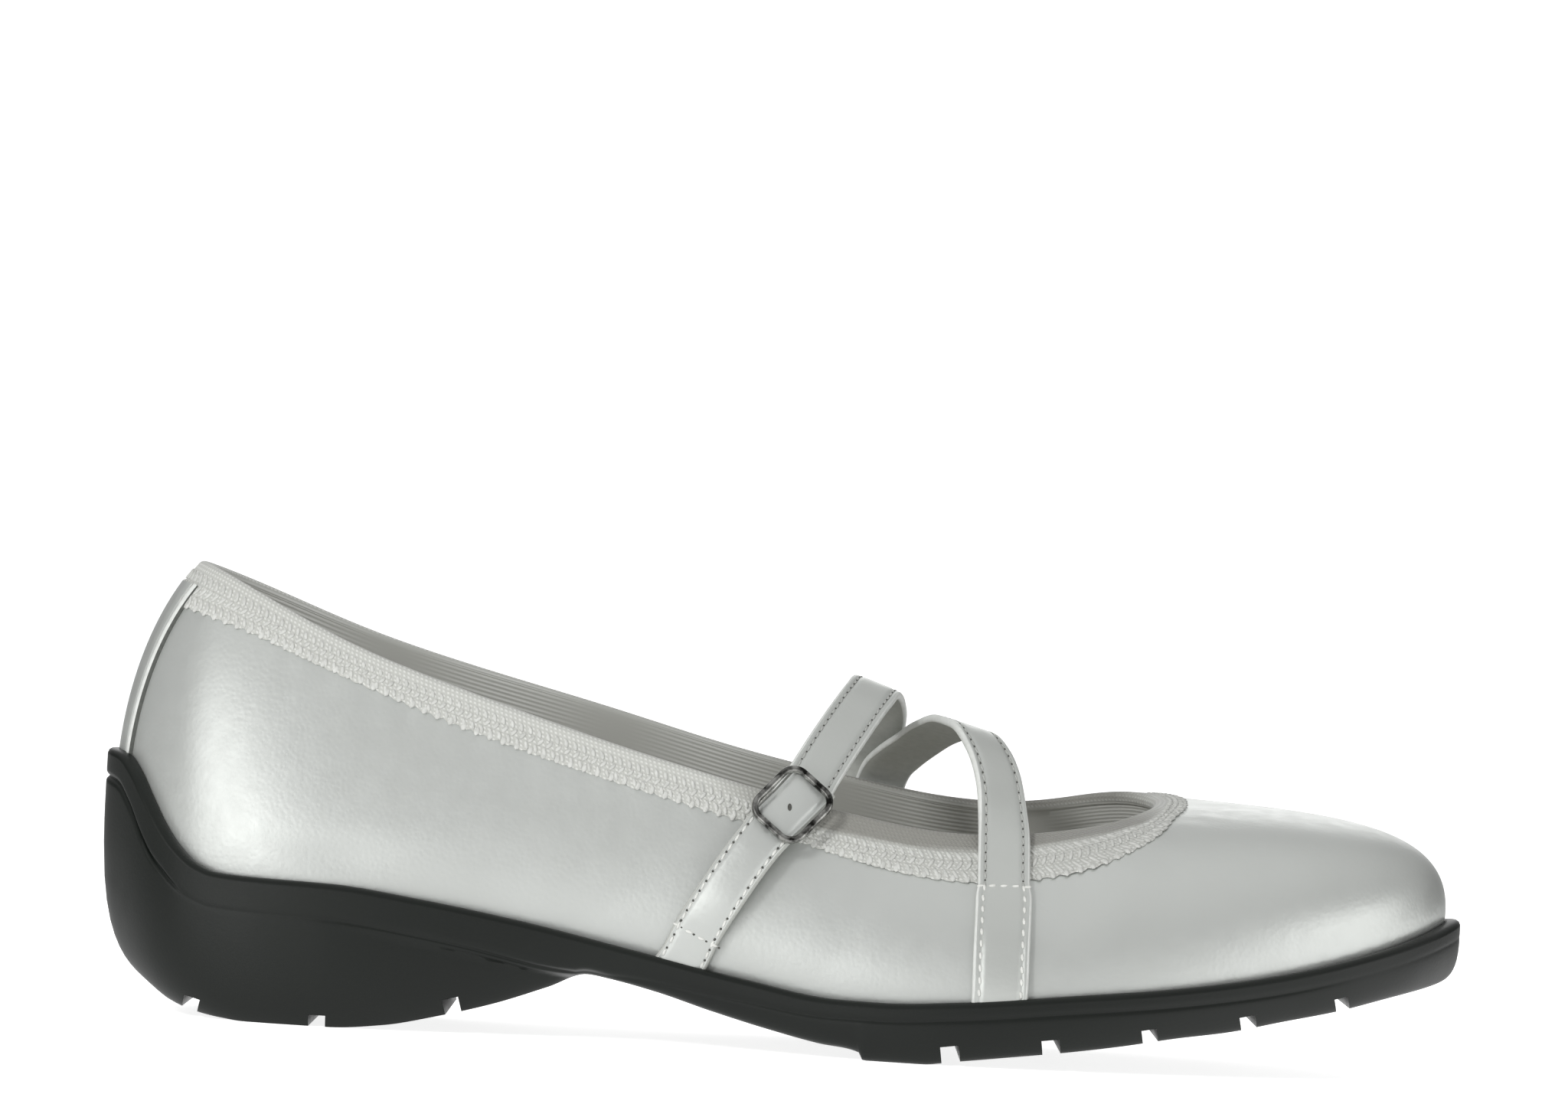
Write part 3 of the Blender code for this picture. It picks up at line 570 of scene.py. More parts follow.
# Cotton lining: matt grey twill. Its 0.5 mm threads are drawn at 0.9 mm so that they show.
lining_cloth, tree, shader, place, _ = mottled(
    "grey_twill_lining", 12, 4, "#cccbc2", "#dedcd4", Roughness=0.85, Sheen_Weight=0.15)
twill = add_node(tree, "ShaderNodeTexWave", {
    "Vector": place, "Scale": WAVE / (0.9 * MM), "Distortion": 0.6, "Detail": 1,
}, bands_direction="DIAGONAL")
add_node(tree, "ShaderNodeBump", {"Height": twill.node.outputs["Fac"], "Strength": 0.35, "Distance": 0.1 * MM},
         shader.inputs["Normal"])

lining_t = even_stations(LINING_COLUMNS)
lining_params = [LINING_FOOT + LINING_RISE * share for share in np.linspace(0, 1, LINING_ROWS)]
lining_rows = [off_wall(lining_t, v, LINING_FROM) for v in lining_params]
lining_rows += [off_wall(lining_t, v, LINING_TO) for v in lining_params[::-1]]
for ring in lining_rows:
    ring[:, 2] = np.maximum(ring[:, 2], footbed(ring[:, 0]) + HUG)
faces = grid_faces(len(lining_rows), len(lining_t), True)
fit_piece(make_mesh("woven_lining", lining_rows, faces), "insole_leather", [lining_cloth])

# Back strip: a strip of the same silver leather over the seam at the back of the heel, sewn down along each
# edge in a deep groove. It runs from under the binding into the sole's counter. Its cut edges and the floors of
# its grooves are painted dark as shade, and its folds pale as a highlight.
STRIP_HALF = 9.4
STRIP_TUCK = 0.06  # under the binding and into the counter, as a share of the rib
STRIP_ROWS, STRIP_BACK_POINTS = 70, 7
HEEL_SPAN, HEEL_SAMPLES = 1.6, 121  # t each way from the back that the heel's lines are measured over
STRIP_EDGE = [  # way in from the edge in mm, and how far the leather stands off the upper there
    (0.0, -0.3), (0.0, 0.45), (0.05, 0.8), (0.35, 1.0), (0.9, 1.0), (1.35, 0.8), (1.5, 0.3), (1.65, 0.05),
    (2.05, 0.05), (2.2, 0.3), (2.35, 0.7), (3.0, 0.85), (5.0, 0.85), (7.5, 0.85),
]
STRIP_SEAM, SEAM_LIFT = 1.85, 0.12  # its way in from the edge, and off the upper


def heel_line(v, offsets):
    """Points and normals across the back of the heel at v, at offsets in mm from its middle."""
    t = np.linspace(-HEEL_SPAN, HEEL_SPAN, HEEL_SAMPLES)
    run = run_along(wall_point(t, v)[0])
    run -= run[HEEL_SAMPLES // 2]
    return wall_point(np.interp(offsets, run, t), v)[:2]


heel = np.zeros(1)
strip_low = param_at_height(heel, rim_top(heel))[0] - STRIP_TUCK
strip_high = param_below_top(heel, band_height(heel)[:, 0])[0] + STRIP_TUCK
strip_params = np.linspace(strip_low, strip_high, STRIP_ROWS)
edge_in, edge_lift = np.array(STRIP_EDGE).T
strip_face = np.concatenate([edge_in - STRIP_HALF, [0.0], (STRIP_HALF - edge_in)[::-1]])
strip_back = np.linspace(STRIP_HALF, -STRIP_HALF, STRIP_BACK_POINTS + 2)[1:-1]  # along the curve of the heel
strip_across = np.concatenate([strip_face, strip_back])
back_lift = np.full(STRIP_BACK_POINTS, edge_lift[0])
lifts = np.concatenate([edge_lift, edge_lift[-1:], edge_lift[::-1], back_lift])
seams_across = np.array([-1, 1]) * (STRIP_HALF - STRIP_SEAM)
strip_rows, seam_rows = [], [[] for _ in seams_across]
for v in strip_params:
    point, normal = heel_line(v, strip_across)
    strip_rows.append(point + normal * lifts[:, None])
    point, normal = heel_line(v, seams_across)
    for row, place_on, facing in zip(seam_rows, point + normal * SEAM_LIFT, normal):
        row.append((place_on, facing))
across_count = len(strip_across)
shaded_faces = [0, 1, 6, 7, 8]  # the cut edge and the floor of the groove, counted from the edge, painted dark as shade
highlight_faces = [2, 3, 4, 5]  # the fold between them, painted pale as a highlight
finish = np.zeros(across_count, int)
for kind, chosen in ((1, shaded_faces), (2, highlight_faces)):
    finish[chosen] = kind
    finish[[len(strip_face) - 2 - k for k in chosen]] = kind
strip_finish = np.concatenate([np.tile(finish, STRIP_ROWS - 1), [0, 0]])

# Painted shade on the back strip: its cut edges and the floors of its seam grooves are dark grey and matt.
edge_and_groove_shade = mottled("painted_edge_and_groove_shade", 0.8, 2, "#4d4f4c", "#6c6e6a", Roughness=0.9)[0]

# Edge paint, partly a painted highlight: the straps' cut edges are painted pale and satin, and the back strip's
# fold gets the same pale as a highlight, a thin light line along each.
pale_edge_highlight = mottled("pale_edge_paint_and_highlight", 1.5, 2, "#c2c4c0", "#dcdedb", Roughness=0.5)[0]

faces = tube_faces(STRIP_ROWS, across_count)
strip_mesh = make_mesh("back_strip", strip_rows, faces, face_slots=strip_finish)
fit_piece(strip_mesh, "silver_leather", [silver, edge_and_groove_shade, pale_edge_highlight])


# Spun polyester thread: slightly glossy, laid at a slant by the machine, its plies a little uneven in tone.
def spun_thread(name, dull, bright, roughness=0.45):
    return mottled(name, 1.2, 2, dull, bright, Roughness=roughness)[0]


slate_thread = spun_thread("slate_polyester_thread", "#5b5d5a", "#7d807c")

# Needle holes: dark, dull beads set in them as painted shade.
dark_hole_shade = mottled("painted_hole_shade", 0.6, 2, "#3c3c39", "#5a5a55", Roughness=0.9)[0]

# Stitches follow their seam line: a point at each stitch, a short rounded bead of thread on it that lies
# along the seam, turned by lean and lengthened by stretch, and facing out of the leather.
STITCH = 2.1  # from hole to hole
STITCH_SIZES = ("Spacing", "Shift", "Long", "Wide", "High")
PLAIN_LEAN, PLAIN_STRETCH = 0.12, 1.0
stitch_tree = bpy.data.node_groups.new("sewn_row", "GeometryNodeTree")
stitch_tree.interface.new_socket("Seams", in_out="INPUT", socket_type="NodeSocketGeometry")
for label in STITCH_SIZES:
    stitch_tree.interface.new_socket(label, in_out="INPUT", socket_type="NodeSocketFloat")
stitch_tree.interface.new_socket("Thread", in_out="INPUT", socket_type="NodeSocketMaterial")
stitch_tree.interface.new_socket("Stitches", in_out="OUTPUT", socket_type="NodeSocketGeometry")
given = add_node(stitch_tree, "NodeGroupInput").node.outputs
seam = add_node(stitch_tree, "GeometryNodeMeshToCurve", {"Mesh": given["Seams"]})
seam = add_node(stitch_tree, "GeometryNodeResampleCurve", {"Curve": seam, "Length": given["Spacing"]},
                mode="LENGTH")
tangent = add_node(stitch_tree, "GeometryNodeInputTangent")
facing, lean, stretch = (
    add_node(stitch_tree, "GeometryNodeInputNamedAttribute", {"Name": name}, data_type=kind)
    for name, kind in (("facing", "FLOAT_VECTOR"), ("lean", "FLOAT"), ("stretch", "FLOAT"))
)
step_on = add_node(stitch_tree, "ShaderNodeVectorMath", {0: tangent, "Scale": given["Shift"]},
                   operation="SCALE")
seam = add_node(stitch_tree, "GeometryNodeSetPosition", {"Geometry": seam, "Offset": step_on})
turned = add_node(stitch_tree, "ShaderNodeVectorRotate", {"Vector": tangent, "Axis": facing, "Angle": lean})
pose = add_node(stitch_tree, "FunctionNodeAxesToRotation", {
    "Primary Axis": turned, "Secondary Axis": facing}, primary_axis="X", secondary_axis="Z")
long = add_node(stitch_tree, "ShaderNodeMath", {0: given["Long"], 1: stretch}, operation="MULTIPLY")
size = add_node(stitch_tree, "ShaderNodeCombineXYZ", {"X": long, "Y": given["Wide"], "Z": given["High"]})
bead = add_node(stitch_tree, "GeometryNodeMeshUVSphere", {"Segments": 8, "Rings": 5, "Radius": 0.5})
bead = add_node(stitch_tree, "GeometryNodeSetShadeSmooth", {"Geometry": bead})
sewn = add_node(stitch_tree, "GeometryNodeInstanceOnPoints", {
    "Points": seam, "Instance": bead, "Rotation": pose, "Scale": size})
sewn = add_node(stitch_tree, "GeometryNodeRealizeInstances", {"Geometry": sewn})
sewn = add_node(stitch_tree, "GeometryNodeSetMaterial", {"Geometry": sewn, "Material": given["Thread"]})
add_node(stitch_tree, "NodeGroupOutput", {"Stitches": sewn})
stitch_socket = {item.name: item.identifier for item in stitch_tree.interface.items_tree}


def sew(name, rows, material, long, wide, high, spacing=STITCH, shift=0, slot="silver_leather"):
    """Stitches along rows of (point, facing, lean, stretch), as one piece. Sizes are in mm."""
    stops, edges = [], []
    for row in rows:
        edges += [(len(stops) + k, len(stops) + k + 1) for k in range(len(row) - 1)]
        stops += [(*stop, *(PLAIN_LEAN, PLAIN_STRETCH)[len(stop) - 2:]) for stop in row]
    points, facing, lean, stretch = (np.array(column, float) for column in zip(*stops))
    seams = bpy.data.meshes.new(name + "_seams")
    seams.from_pydata(((points - ORIGIN) * MM).tolist(), edges, [])
    seams.attributes.new("facing", "FLOAT_VECTOR", "POINT").data.foreach_set("vector", facing.ravel())
    for label, values in (("lean", lean), ("stretch", stretch)):
        seams.attributes.new(label, "FLOAT", "POINT").data.foreach_set("value", values)
    carrier = add_object(name + "_seams", seams)
    sewing = carrier.modifiers.new("sewn_row", "NODES")
    sewing.node_group = stitch_tree
    for label, value in zip(STITCH_SIZES, (spacing, shift, long, wide, high)):
        sewing[stitch_socket[label]] = value * MM
    sewing[stitch_socket["Thread"]] = material
    fit_piece(plain_mesh(carrier, name), slot, [material])


sew("back_strip_stitches", seam_rows, slate_thread, long=1.8, wide=0.55, high=0.35)
sew("back_strip_holes", seam_rows, dark_hole_shade, long=0.7, wide=0.5, high=0.3, shift=STITCH / 2)

# Topline binding: woven elastic tape, folded over the edge of leather and lining all round the collar and
# throat and held by a zigzag seam. Its free edge is picot, a row of small scallops.
BAND_PROUD, BAND_INSIDE, BAND_TURN = 0.45, -2.05, 7.5  # face outside, face inside, and height of the inside
BAND_HANG = 0.8  # how far the inside hangs straight down instead of along the leather
BAND_COLUMNS = 700
FACE_RINGS, FOLD_RINGS, INNER_RINGS = 12, 10, 6
FACE_FROM = 0.94  # of the way down from the fold, where the free edge's rounding ends
INNER_SHIFT, BACK_SHIFT = 2, 3  # the weave moves on where the tape turns in
TAPE_THICK, TAPE_GAP = 0.4, 0.06  # the gap is to the leather
FREE_EDGE = [(-0.1, TAPE_GAP), (0.0, 0.2), (-0.15, BAND_PROUD - 0.12)]  # way down past the free edge, and lift
PICOT_PITCH, PICOT_REACH, PICOT_LEAN = 2.75, 0.55, 1.5
PICOT_IN, PICOT_SINK, ZIGZAG_LIFT = 0.5, 0.1, 0.05  # way in from the edge, and how the threads lie on the tape
ZIGZAG_ROWS, ZIGZAG_PITCH, ZIGZAG_REACH, ZIGZAG_LEAN = 3, 1.75, 2.6, 1.05
# Width of the tape on the wall, by t from the heel to the toe. It is widest beside the throat.
tape_width = profile([
    (0, 10.0), (1.2, 9.0), (2, 7.6), (3.1, 6.7), (4, 7.2), (5.2, 7.3), (6.05, 7.6), (6.8, 9.8), (7.3, 11.4),
    (7.8, 12.5), (8.5, 13.4), (9.0, 13.8), (9.9, 12.2), (11.6, 6.6), (13, 5.4),
])
INSIDE_SQUEEZE = 0.02  # the weft hardly shows inside, only the ribs along the tape
ROLL_DEPTH, THROAT_ROLL = 2.6, 3.2  # the tape's plain top, and how much deeper it rolls beside the throat
THROAT_FROM, THROAT_TO = (5.8, 0.8), (12.2, 1.5)  # t where the roll starts and ends, and how slowly
ROLL_SHADE, ROLL_FADE = 0.9, 0.8  # how dark the painted shade on the rolled tape is, and how slowly that fades
INSIDE_SHADE, THROAT_SHADE = 0.2, 0.25  # how much shade is painted on the inside, and how much more beside the throat

# Woven elastic: covered rubber threads, pale warm grey and matt with a silky glint. Ribs of 0.9 mm run
# round the tape, crossed by the weft. Painted shade greys it where it rolls in beside the throat, and on
# its inside.
elastic, tree, shader = start_material("pale_woven_elastic", Roughness=0.7, Sheen_Weight=0.3)
cloth = add_node(tree, "ShaderNodeUVMap", uv_map="cloth")
warp, weft = (
    add_node(tree, "ShaderNodeTexWave", {"Vector": cloth, "Scale": WAVE / pitch, "Distortion": 0.4},
             bands_direction=across).node.outputs["Fac"] for across, pitch in (("X", 0.9), ("Y", 0.8))
)
weave = add_node(tree, "ShaderNodeMath", {0: warp, 1: weft}, operation="MULTIPLY")
painted_tape_shade = add_node(tree, "ShaderNodeAttribute", attribute_name="painted_tape_shade").node.outputs["Fac"]
# Base tone, the weave's pale ribs, then the painted shade that greys the rolled top and the inside.
tone = linear("#b0b1ac")
for share, colour in ((weave, "#d2d3cf"), (painted_tape_shade, "#7f7e78")):
    tone = add_node(tree, "ShaderNodeMix", {"Factor": share, "A": tone, "B": linear(colour)}, data_type="RGBA")
tree.links.new(tone, shader.inputs["Base Color"])
add_node(tree, "ShaderNodeBump", {"Height": weave, "Strength": 0.6, "Distance": 0.2 * MM}, shader.inputs["Normal"])

# The zigzag's and the picot edge's threads are thicker and brighter than the seams' thread.
zigzag_thread = spun_thread("silky_zigzag_thread", "#a4a5a1", "#d8d9d5", 0.4)
picot_thread = spun_thread("bright_picot_thread", "#a9aaa6", "#d4d5d1")

band_t = even_stations(BAND_COLUMNS // 2, top_line)
side_t = np.minimum(band_t, FULL_T - band_t)
tape = tape_width(side_t)
tape_run = run_round(wall_point(band_t, param_below_top(band_t, tape))[0])
outside = tape + PICOT_REACH * np.abs(np.sin(math.pi * tape_run[:-1] / PICOT_PITCH))
fold = (BAND_PROUD - BAND_INSIDE) / 2
all_round = np.ones(len(band_t))


def tape_row(below, lift):
    """One ring of the tape, a length below the topline and a lift off the leather's face."""
    return off_wall(band_t, param_below_top(band_t, below), lift)


def inner_row(down, lift):
    """One ring of the tape's inner side, which hangs from the fold."""
    along_wall, hung = tape_row(all_round * down, lift), tape_row(all_round * fold, lift) - UP * (down - fold)
    return along_wall + (hung - along_wall) * BAND_HANG


# Rings from the free edge over the fold to the inside, each with its place across the weave.
band = [(tape_row(outside + past, lift), outside + past) for past, lift in FREE_EDGE]
for share in np.linspace(FACE_FROM, 0, FACE_RINGS):
    down = fold + (outside - fold) * share
    band.append((tape_row(down, BAND_PROUD), down))
crest, normal, climb = wall_point(band_t, 1.0)
inner_from = len(band) + FOLD_RINGS // 2
for angle in np.linspace(0, math.pi, FOLD_RINGS)[1:-1]:
    ring = crest + normal * (BAND_PROUD - fold + fold * math.cos(angle)) + climb * fold * (math.sin(angle) - 1)
    band.append((ring, all_round * fold * (1 - angle)))
for share in np.linspace(0, 1, INNER_RINGS):
    down = fold + (BAND_TURN - fold) * share
    band.append((inner_row(down, BAND_INSIDE), all_round * (-down - INNER_SHIFT)))
back = BAND_INSIDE + TAPE_THICK
for down, lift in ((BAND_TURN, back), (fold, back), (fold, TAPE_GAP)):
    band.append((inner_row(down, lift), all_round * (-down - BACK_SHIFT)))
band_rows, around = (np.array(part) for part in zip(*band))
rows, columns = around.shape
faces = grid_faces(rows, columns, True)
row_of, column_of = np.divmod(np.arange(len(faces))[:, None], columns)
run_at = tape_run[column_of + (0, 1, 1, 0)] * np.where(row_of >= inner_from, INSIDE_SQUEEZE, 1.0)
uv = np.stack([run_at, around.ravel()[faces]], -1)
tape_mesh = make_mesh("elastic_binding_tape", band_rows, faces, uv=uv)
throat_roll = (np.clip((side_t - THROAT_FROM[0]) / THROAT_FROM[1], 0, 1)
               * np.clip((THROAT_TO[0] - side_t) / THROAT_TO[1], 0, 1))
roll_depth = ROLL_DEPTH + THROAT_ROLL * throat_roll
# Painted shade on the tape: greyer on its rolled top beside the throat, and all over its inside.
tape_shade_share = ROLL_SHADE * throat_roll * np.clip((roll_depth - around) / ROLL_FADE, 0, 1)
tape_shade_share[inner_from:] = INSIDE_SHADE + THROAT_SHADE * throat_roll
tape_mesh.attributes.new("painted_tape_shade", "FLOAT", "POINT").data.foreach_set("value", tape_shade_share.ravel())
fit_piece(tape_mesh, "elastic_binding", [elastic], "topline_binding")


def thread_row(down, lift, lean, reach):
    """Stitches all round the tape, a length below the topline and a lift off the leather."""
    point, normal, _ = wall_point(band_t, param_below_top(band_t, down))
    stops = [(p + n * lift, n, lean, r) for p, n, r in zip(point, normal, reach)]
    return stops + stops[:1]


row_height = (tape - roll_depth) / ZIGZAG_ROWS
zigzag_rows = [
    thread_row(roll_depth + (tape - roll_depth) * (k + 0.5) / ZIGZAG_ROWS, BAND_PROUD + ZIGZAG_LIFT,
               ZIGZAG_LEAN if k % 2 else -ZIGZAG_LEAN, np.minimum(ZIGZAG_REACH, row_height))
    for k in range(ZIGZAG_ROWS)
]
sew("binding_zigzag", zigzag_rows, zigzag_thread, long=1.1, wide=0.72, high=0.4,
    spacing=ZIGZAG_PITCH, slot="elastic_binding")
picot_row = thread_row(outside - PICOT_IN, BAND_PROUD - PICOT_SINK, PICOT_LEAN, all_round)
sew("binding_picot", [picot_row], picot_thread, long=1.7, wide=1.15, high=0.55,
    spacing=PICOT_PITCH, slot="elastic_binding")

# Front strap: a thin strap of folded silver leather over a pale backing, sewn along both edges. It leaves the
# sole on the lateral side, crosses the instep and runs down the medial side into the sole again.
STRAP_WIDTH, STRAP_FOOT, STRAP_THICK, STRAP_STEP = 9.6, 10.3, 1.5, 0.7  # a strap widens towards its foot
SEAM_IN, STRAP_HOLE = 1.35, 0.42  # from a strap's edge to its seam, and length of its needle holes
SEAM_DITCH = [(0.4, 0.0), (0.2, 0.13), (-0.2, 0.13), (-0.45, -0.03), (-1.1, -0.1)]  # way out from it, and sink
EDGE_ROUND, FACE_RISE = 0.55, 0.12  # rounding of a strap's edges, and rise of its face in the middle
EDGE_TURN, EDGE_POINTS = 80, 7  # the rounding turns so many degrees each way
DITCH_END, FACE_START, STITCH_SINK = 0.2, 0.7, 0.1  # stitches sink into the ditch, and ride over the face
FOOT_FADE = 2.0  # height over which a strap widens
INSTEP_AXIS_Z = 20.0  # straps in the air face away from the foot's middle at this height, and lean forwards
Stuck = namedtuple("Stuck", "x z lift")  # on the wall, lift clear of it
Free = namedtuple("Free", "x y z lean", defaults=[0.35])  # in the air
FRONT_STRAP = [
    Stuck(167.6, 10.8, 0.4), Stuck(167.6, 14.2, 0.4), Stuck(167.5, 21.0, 0.4), Stuck(167.5, 28.4, 0.4),
    Stuck(167.3, 34.5, 0.5), Stuck(167.1, 39.6, 0.9), Free(166.4, -21.9, 46.2), Free(165.3, -19.2, 51.9),
    Free(163.3, -14.8, 56.7), Free(160.3, -7.6, 60.0), Free(157.3, 0.0, 60.4), Free(154.0, 7.6, 59.0, 0.25),
    Free(150.6, 15.0, 56.3, 0.12), Free(147.6, 21.0, 53.7, 0.08), Free(145.6, 25.2, 51.4, 0.05),
    Free(144.5, 28.2, 48.5, 0.05), Stuck(143.7, 43.0, 0.9), Stuck(142.7, 34.0, 0.5), Stuck(141.9, 22.0, 0.4),
    Stuck(141.4, 12.6, 0.4), Stuck(141.2, 9.6, 0.4),
]
CROSS_SEAM_FRONT = 31.8  # height of the row of stitches across the strap

# The straps' leather is a darker copy of the upper's: painted shade for the stronger light on their upturned
# faces.
shaded_strap_silver = silver_nappa("shaded_silver_strap_leather", "#c8cbc7", "#d3d6d2")

# The seams are sewn in grey, and in a paler thread where a strap is sewn down at its foot.
pale_thread = spun_thread("pale_polyester_thread", "#bfc0bb", "#e4e5e1")
grey_thread = spun_thread("grey_polyester_thread", "#9a9c98", "#b2b4b0")

# Strap backing: the split leather side of the strap, mid grey and matt.
strap_back, tree, shader, _, nap = mottled("grey_split_leather", 1.2, 4, "#a3a5a0", "#b9bbb6", Roughness=0.75)
add_node(tree, "ShaderNodeBump", {"Height": nap, "Strength": 0.3, "Distance": 0.1 * MM}, shader.inputs["Normal"])


PAST_TOP = 1.15  # how far up a rib, with its run past the topline, a strap may lie
SEARCH_ROUNDS, SEARCH_POINTS, SEARCH_SHRINK = 6, 41, 10


def nearest_on_wall(x, z, side):
    """t and v where one side of the wall, or its run past the topline, shows at x and z."""
    low, high = (0, TOE_T) if side == LATERAL else (TOE_T, FULL_T)
    t_span, v_span = (low, high), (0.0, PAST_TOP)
    for _ in range(SEARCH_ROUNDS):
        t, v = np.meshgrid(np.linspace(*t_span, SEARCH_POINTS), np.linspace(*v_span, SEARCH_POINTS))
        point = wall_point(t, v)[0]
        best = np.argmin((point[..., 0] - x) ** 2 + (point[..., 2] - z) ** 2)
        t_best, v_best = t.flat[best], v.flat[best]
        t_reach, v_reach = ((span[1] - span[0]) / SEARCH_SHRINK for span in (t_span, v_span))
        t_span = (max(low, t_best - t_reach), min(high, t_best + t_reach))
        v_span = (v_best - v_reach, v_best + v_reach)
    return t_best, v_best


def strap_frames(route):
    """Run, points, outward normals and across directions at even steps along a strap's underside."""
    points, normals = [], []
    side = LATERAL
    for stop in route:
        if isinstance(stop, Stuck):
            point, normal, _ = wall_point(*nearest_on_wall(stop.x, stop.z, side))
            points.append(point + normal * stop.lift)
        else:
            points.append(np.array(stop[:3], float))
            normal = np.array([stop.lean * (stop.z - INSTEP_AXIS_Z), stop.y, stop.z - INSTEP_AXIS_Z])
            side = LATERAL if stop.y < 0 else MEDIAL
        normals.append(unit(normal))
    run = run_along(np.array(points))
    stations = np.linspace(0, run[-1], round(run[-1] / STRAP_STEP) + 1)
    centre, facing = (
        np.stack([profile(np.stack([run, column], 1))(stations) for column in np.array(values).T], 1)
        for values in (points, normals)
    )
    along = unit(np.gradient(centre, stations, axis=0))
    facing = unit(facing - along * np.sum(facing * along, axis=1, keepdims=True))
    return stations, centre, facing, np.cross(along, facing)


def strap_section(half, crown, seam_in):
    """Outline of a strap across: offset from its middle and rise off its underside."""
    middle = STRAP_THICK / 2
    side = [(half - EDGE_ROUND + EDGE_ROUND * math.cos(a), middle + middle * math.sin(a))
            for a in np.radians(np.linspace(-EDGE_TURN, EDGE_TURN, EDGE_POINTS))]
    face = [(half - seam_in + out, STRAP_THICK - sink) for out, sink in SEAM_DITCH]
    face.append((half * 0.25, STRAP_THICK + FACE_RISE))
    right = [(half * 0.5, 0.0)] + side + [(o, rise + crown * (1 - (o / half) ** 2)) for o, rise in face]
    return np.array(right + [(-o, rise) for o, rise in right[::-1]])


def strap_width(run, height):
    """Wider from the sole up to the cross seam, on the lateral side."""
    foot = (run < run[-1] / 2) * np.clip((CROSS_SEAM_FRONT - height) / FOOT_FADE + 0.5, 0, 1)
    return STRAP_WIDTH + (STRAP_FOOT - STRAP_WIDTH) * foot


def no_crown(run, height):
    return np.zeros(len(run))


def make_strap(name, node, route, seams, width=strap_width, crown=no_crown, leather=shaded_strap_silver,
               thread=grey_thread, edge=pale_edge_highlight, seam_in=SEAM_IN, hole=STRAP_HOLE):
    """A strap along its route, with its seams. Width and crown are functions of run and height."""
    stations, centre, facing, across = strap_frames(route)
    half, swell = width(stations, centre[:, 2]) / 2, crown(stations, centre[:, 2])
    sections = [strap_section(h, c, seam_in) for h, c in zip(half, swell)]
    rows = [centre[k] + across[k] * section[:, :1] + facing[k] * section[:, 1:]
            for k, section in enumerate(sections)]
    size = len(sections[0])
    finish = np.zeros(size, int)  # 0 the face, 1 the backing, 2 the cut edges
    finish[[0, size - 2, size - 1]] = 1
    finish[1:EDGE_POINTS] = finish[size - EDGE_POINTS - 1:size - 2] = 2
    finishes = np.concatenate([np.tile(finish, len(rows) - 1), [0, 0]])
    mesh = make_mesh(name, rows, tube_faces(len(rows), size), face_slots=finishes)
    fit_piece(mesh, "silver_leather", [leather, strap_back, edge], node)

    def on_strap(row):
        stops = []
        for run, offset in row:
            middle_at, facing_at, across_at = (
                np.array([np.interp(run, stations, column) for column in values.T])
                for values in (centre, facing, across)
            )
            half_at, swell_at = np.interp(run, stations, half), np.interp(run, stations, swell)
            from_edge, ditch = half_at - abs(offset), (seam_in + DITCH_END, seam_in + FACE_START)
            on_face = np.interp(from_edge, ditch, (-STITCH_SINK, STITCH_SINK))
            rise = STRAP_THICK + on_face + swell_at * (1 - (offset / half_at) ** 2)
            stops.append((middle_at + across_at * offset + facing_at * rise, facing_at))
        return stops

    grey_rows, pale_rows = ([on_strap(row) for row in rows] for rows in seams(stations, centre[:, 2], half))
    sew(name + "_stitches", grey_rows, thread, long=1.6, wide=0.5, high=0.4)
    holed = grey_rows if edge is pale_edge_highlight else grey_rows + pale_rows
    sew(name + "_holes", holed, dark_hole_shade, long=hole, wide=0.86 * hole, high=0.52 * hole, shift=STITCH / 2)
    if pale_rows:
        sew(name + "_foot_stitches", pale_rows, pale_thread, long=1.5, wide=0.6, high=0.5)


SEAM_START, SEAM_STOPS = 3.0, 240  # from a strap's end, and points along a seam
CROSS_IN, CROSS_STOPS = 0.6, 8  # the row across stops short of the edges


def edge_seams(cross_at=None, end_at=None, seam_in=SEAM_IN):
    """Seams along both edges. Below a row across, at a height on the lateral side, the thread is pale."""
    def seams(stations, height, half):
        run = np.linspace(SEAM_START, end_at or stations[-1] - SEAM_START, SEAM_STOPS)
        offset = np.interp(run, stations, half) - seam_in
        cross_run = stations[int(np.argmax(height >= cross_at))] if cross_at else 0
        grey, pale = [], []
        for side in (-1, 1):
            grey.append([(r, side * o) for r, o in zip(run, offset) if r >= cross_run])
            pale.append([(r, side * o) for r, o in zip(run, offset) if r < cross_run])
        if cross_at:
            reach = np.interp(cross_run, stations, half) - CROSS_IN
            pale.append([(cross_run, o) for o in np.linspace(-reach, reach, CROSS_STOPS)])
        return grey, [row for row in pale if row]
    return seams


make_strap("front_strap_leather", "front_strap", FRONT_STRAP, edge_seams(CROSS_SEAM_FRONT))

# Rear strap: the same strap, from under the buckle over the instep and down the medial side, where it lies
# over the front strap.
REAR_STRAP = [
    Stuck(126.3, 42.4, 0.4), Stuck(128.0, 44.9, 0.4), Stuck(129.8, 47.7, 0.5), Free(131.8, -25.3, 51.2),
    Free(134.5, -20.2, 55.8), Free(138.0, -12.0, 61.3), Free(140.8, -4.5, 65.3), Free(142.2, 1.5, 66.9),
    Free(143.1, 7.5, 65.9), Free(143.8, 14.5, 62.6), Free(143.5, 21.3, 58.6), Free(142.4, 27.1, 55.2),
    Free(142.0, 30.6, 51.4), Stuck(142.4, 44.0, 3.3), Stuck(144.0, 34.0, 2.9), Stuck(145.8, 22.0, 2.8),
    Stuck(147.0, 12.6, 2.8), Stuck(147.3, 10.2, 2.6),
]
make_strap("rear_strap_leather", "rear_strap", REAR_STRAP, edge_seams())

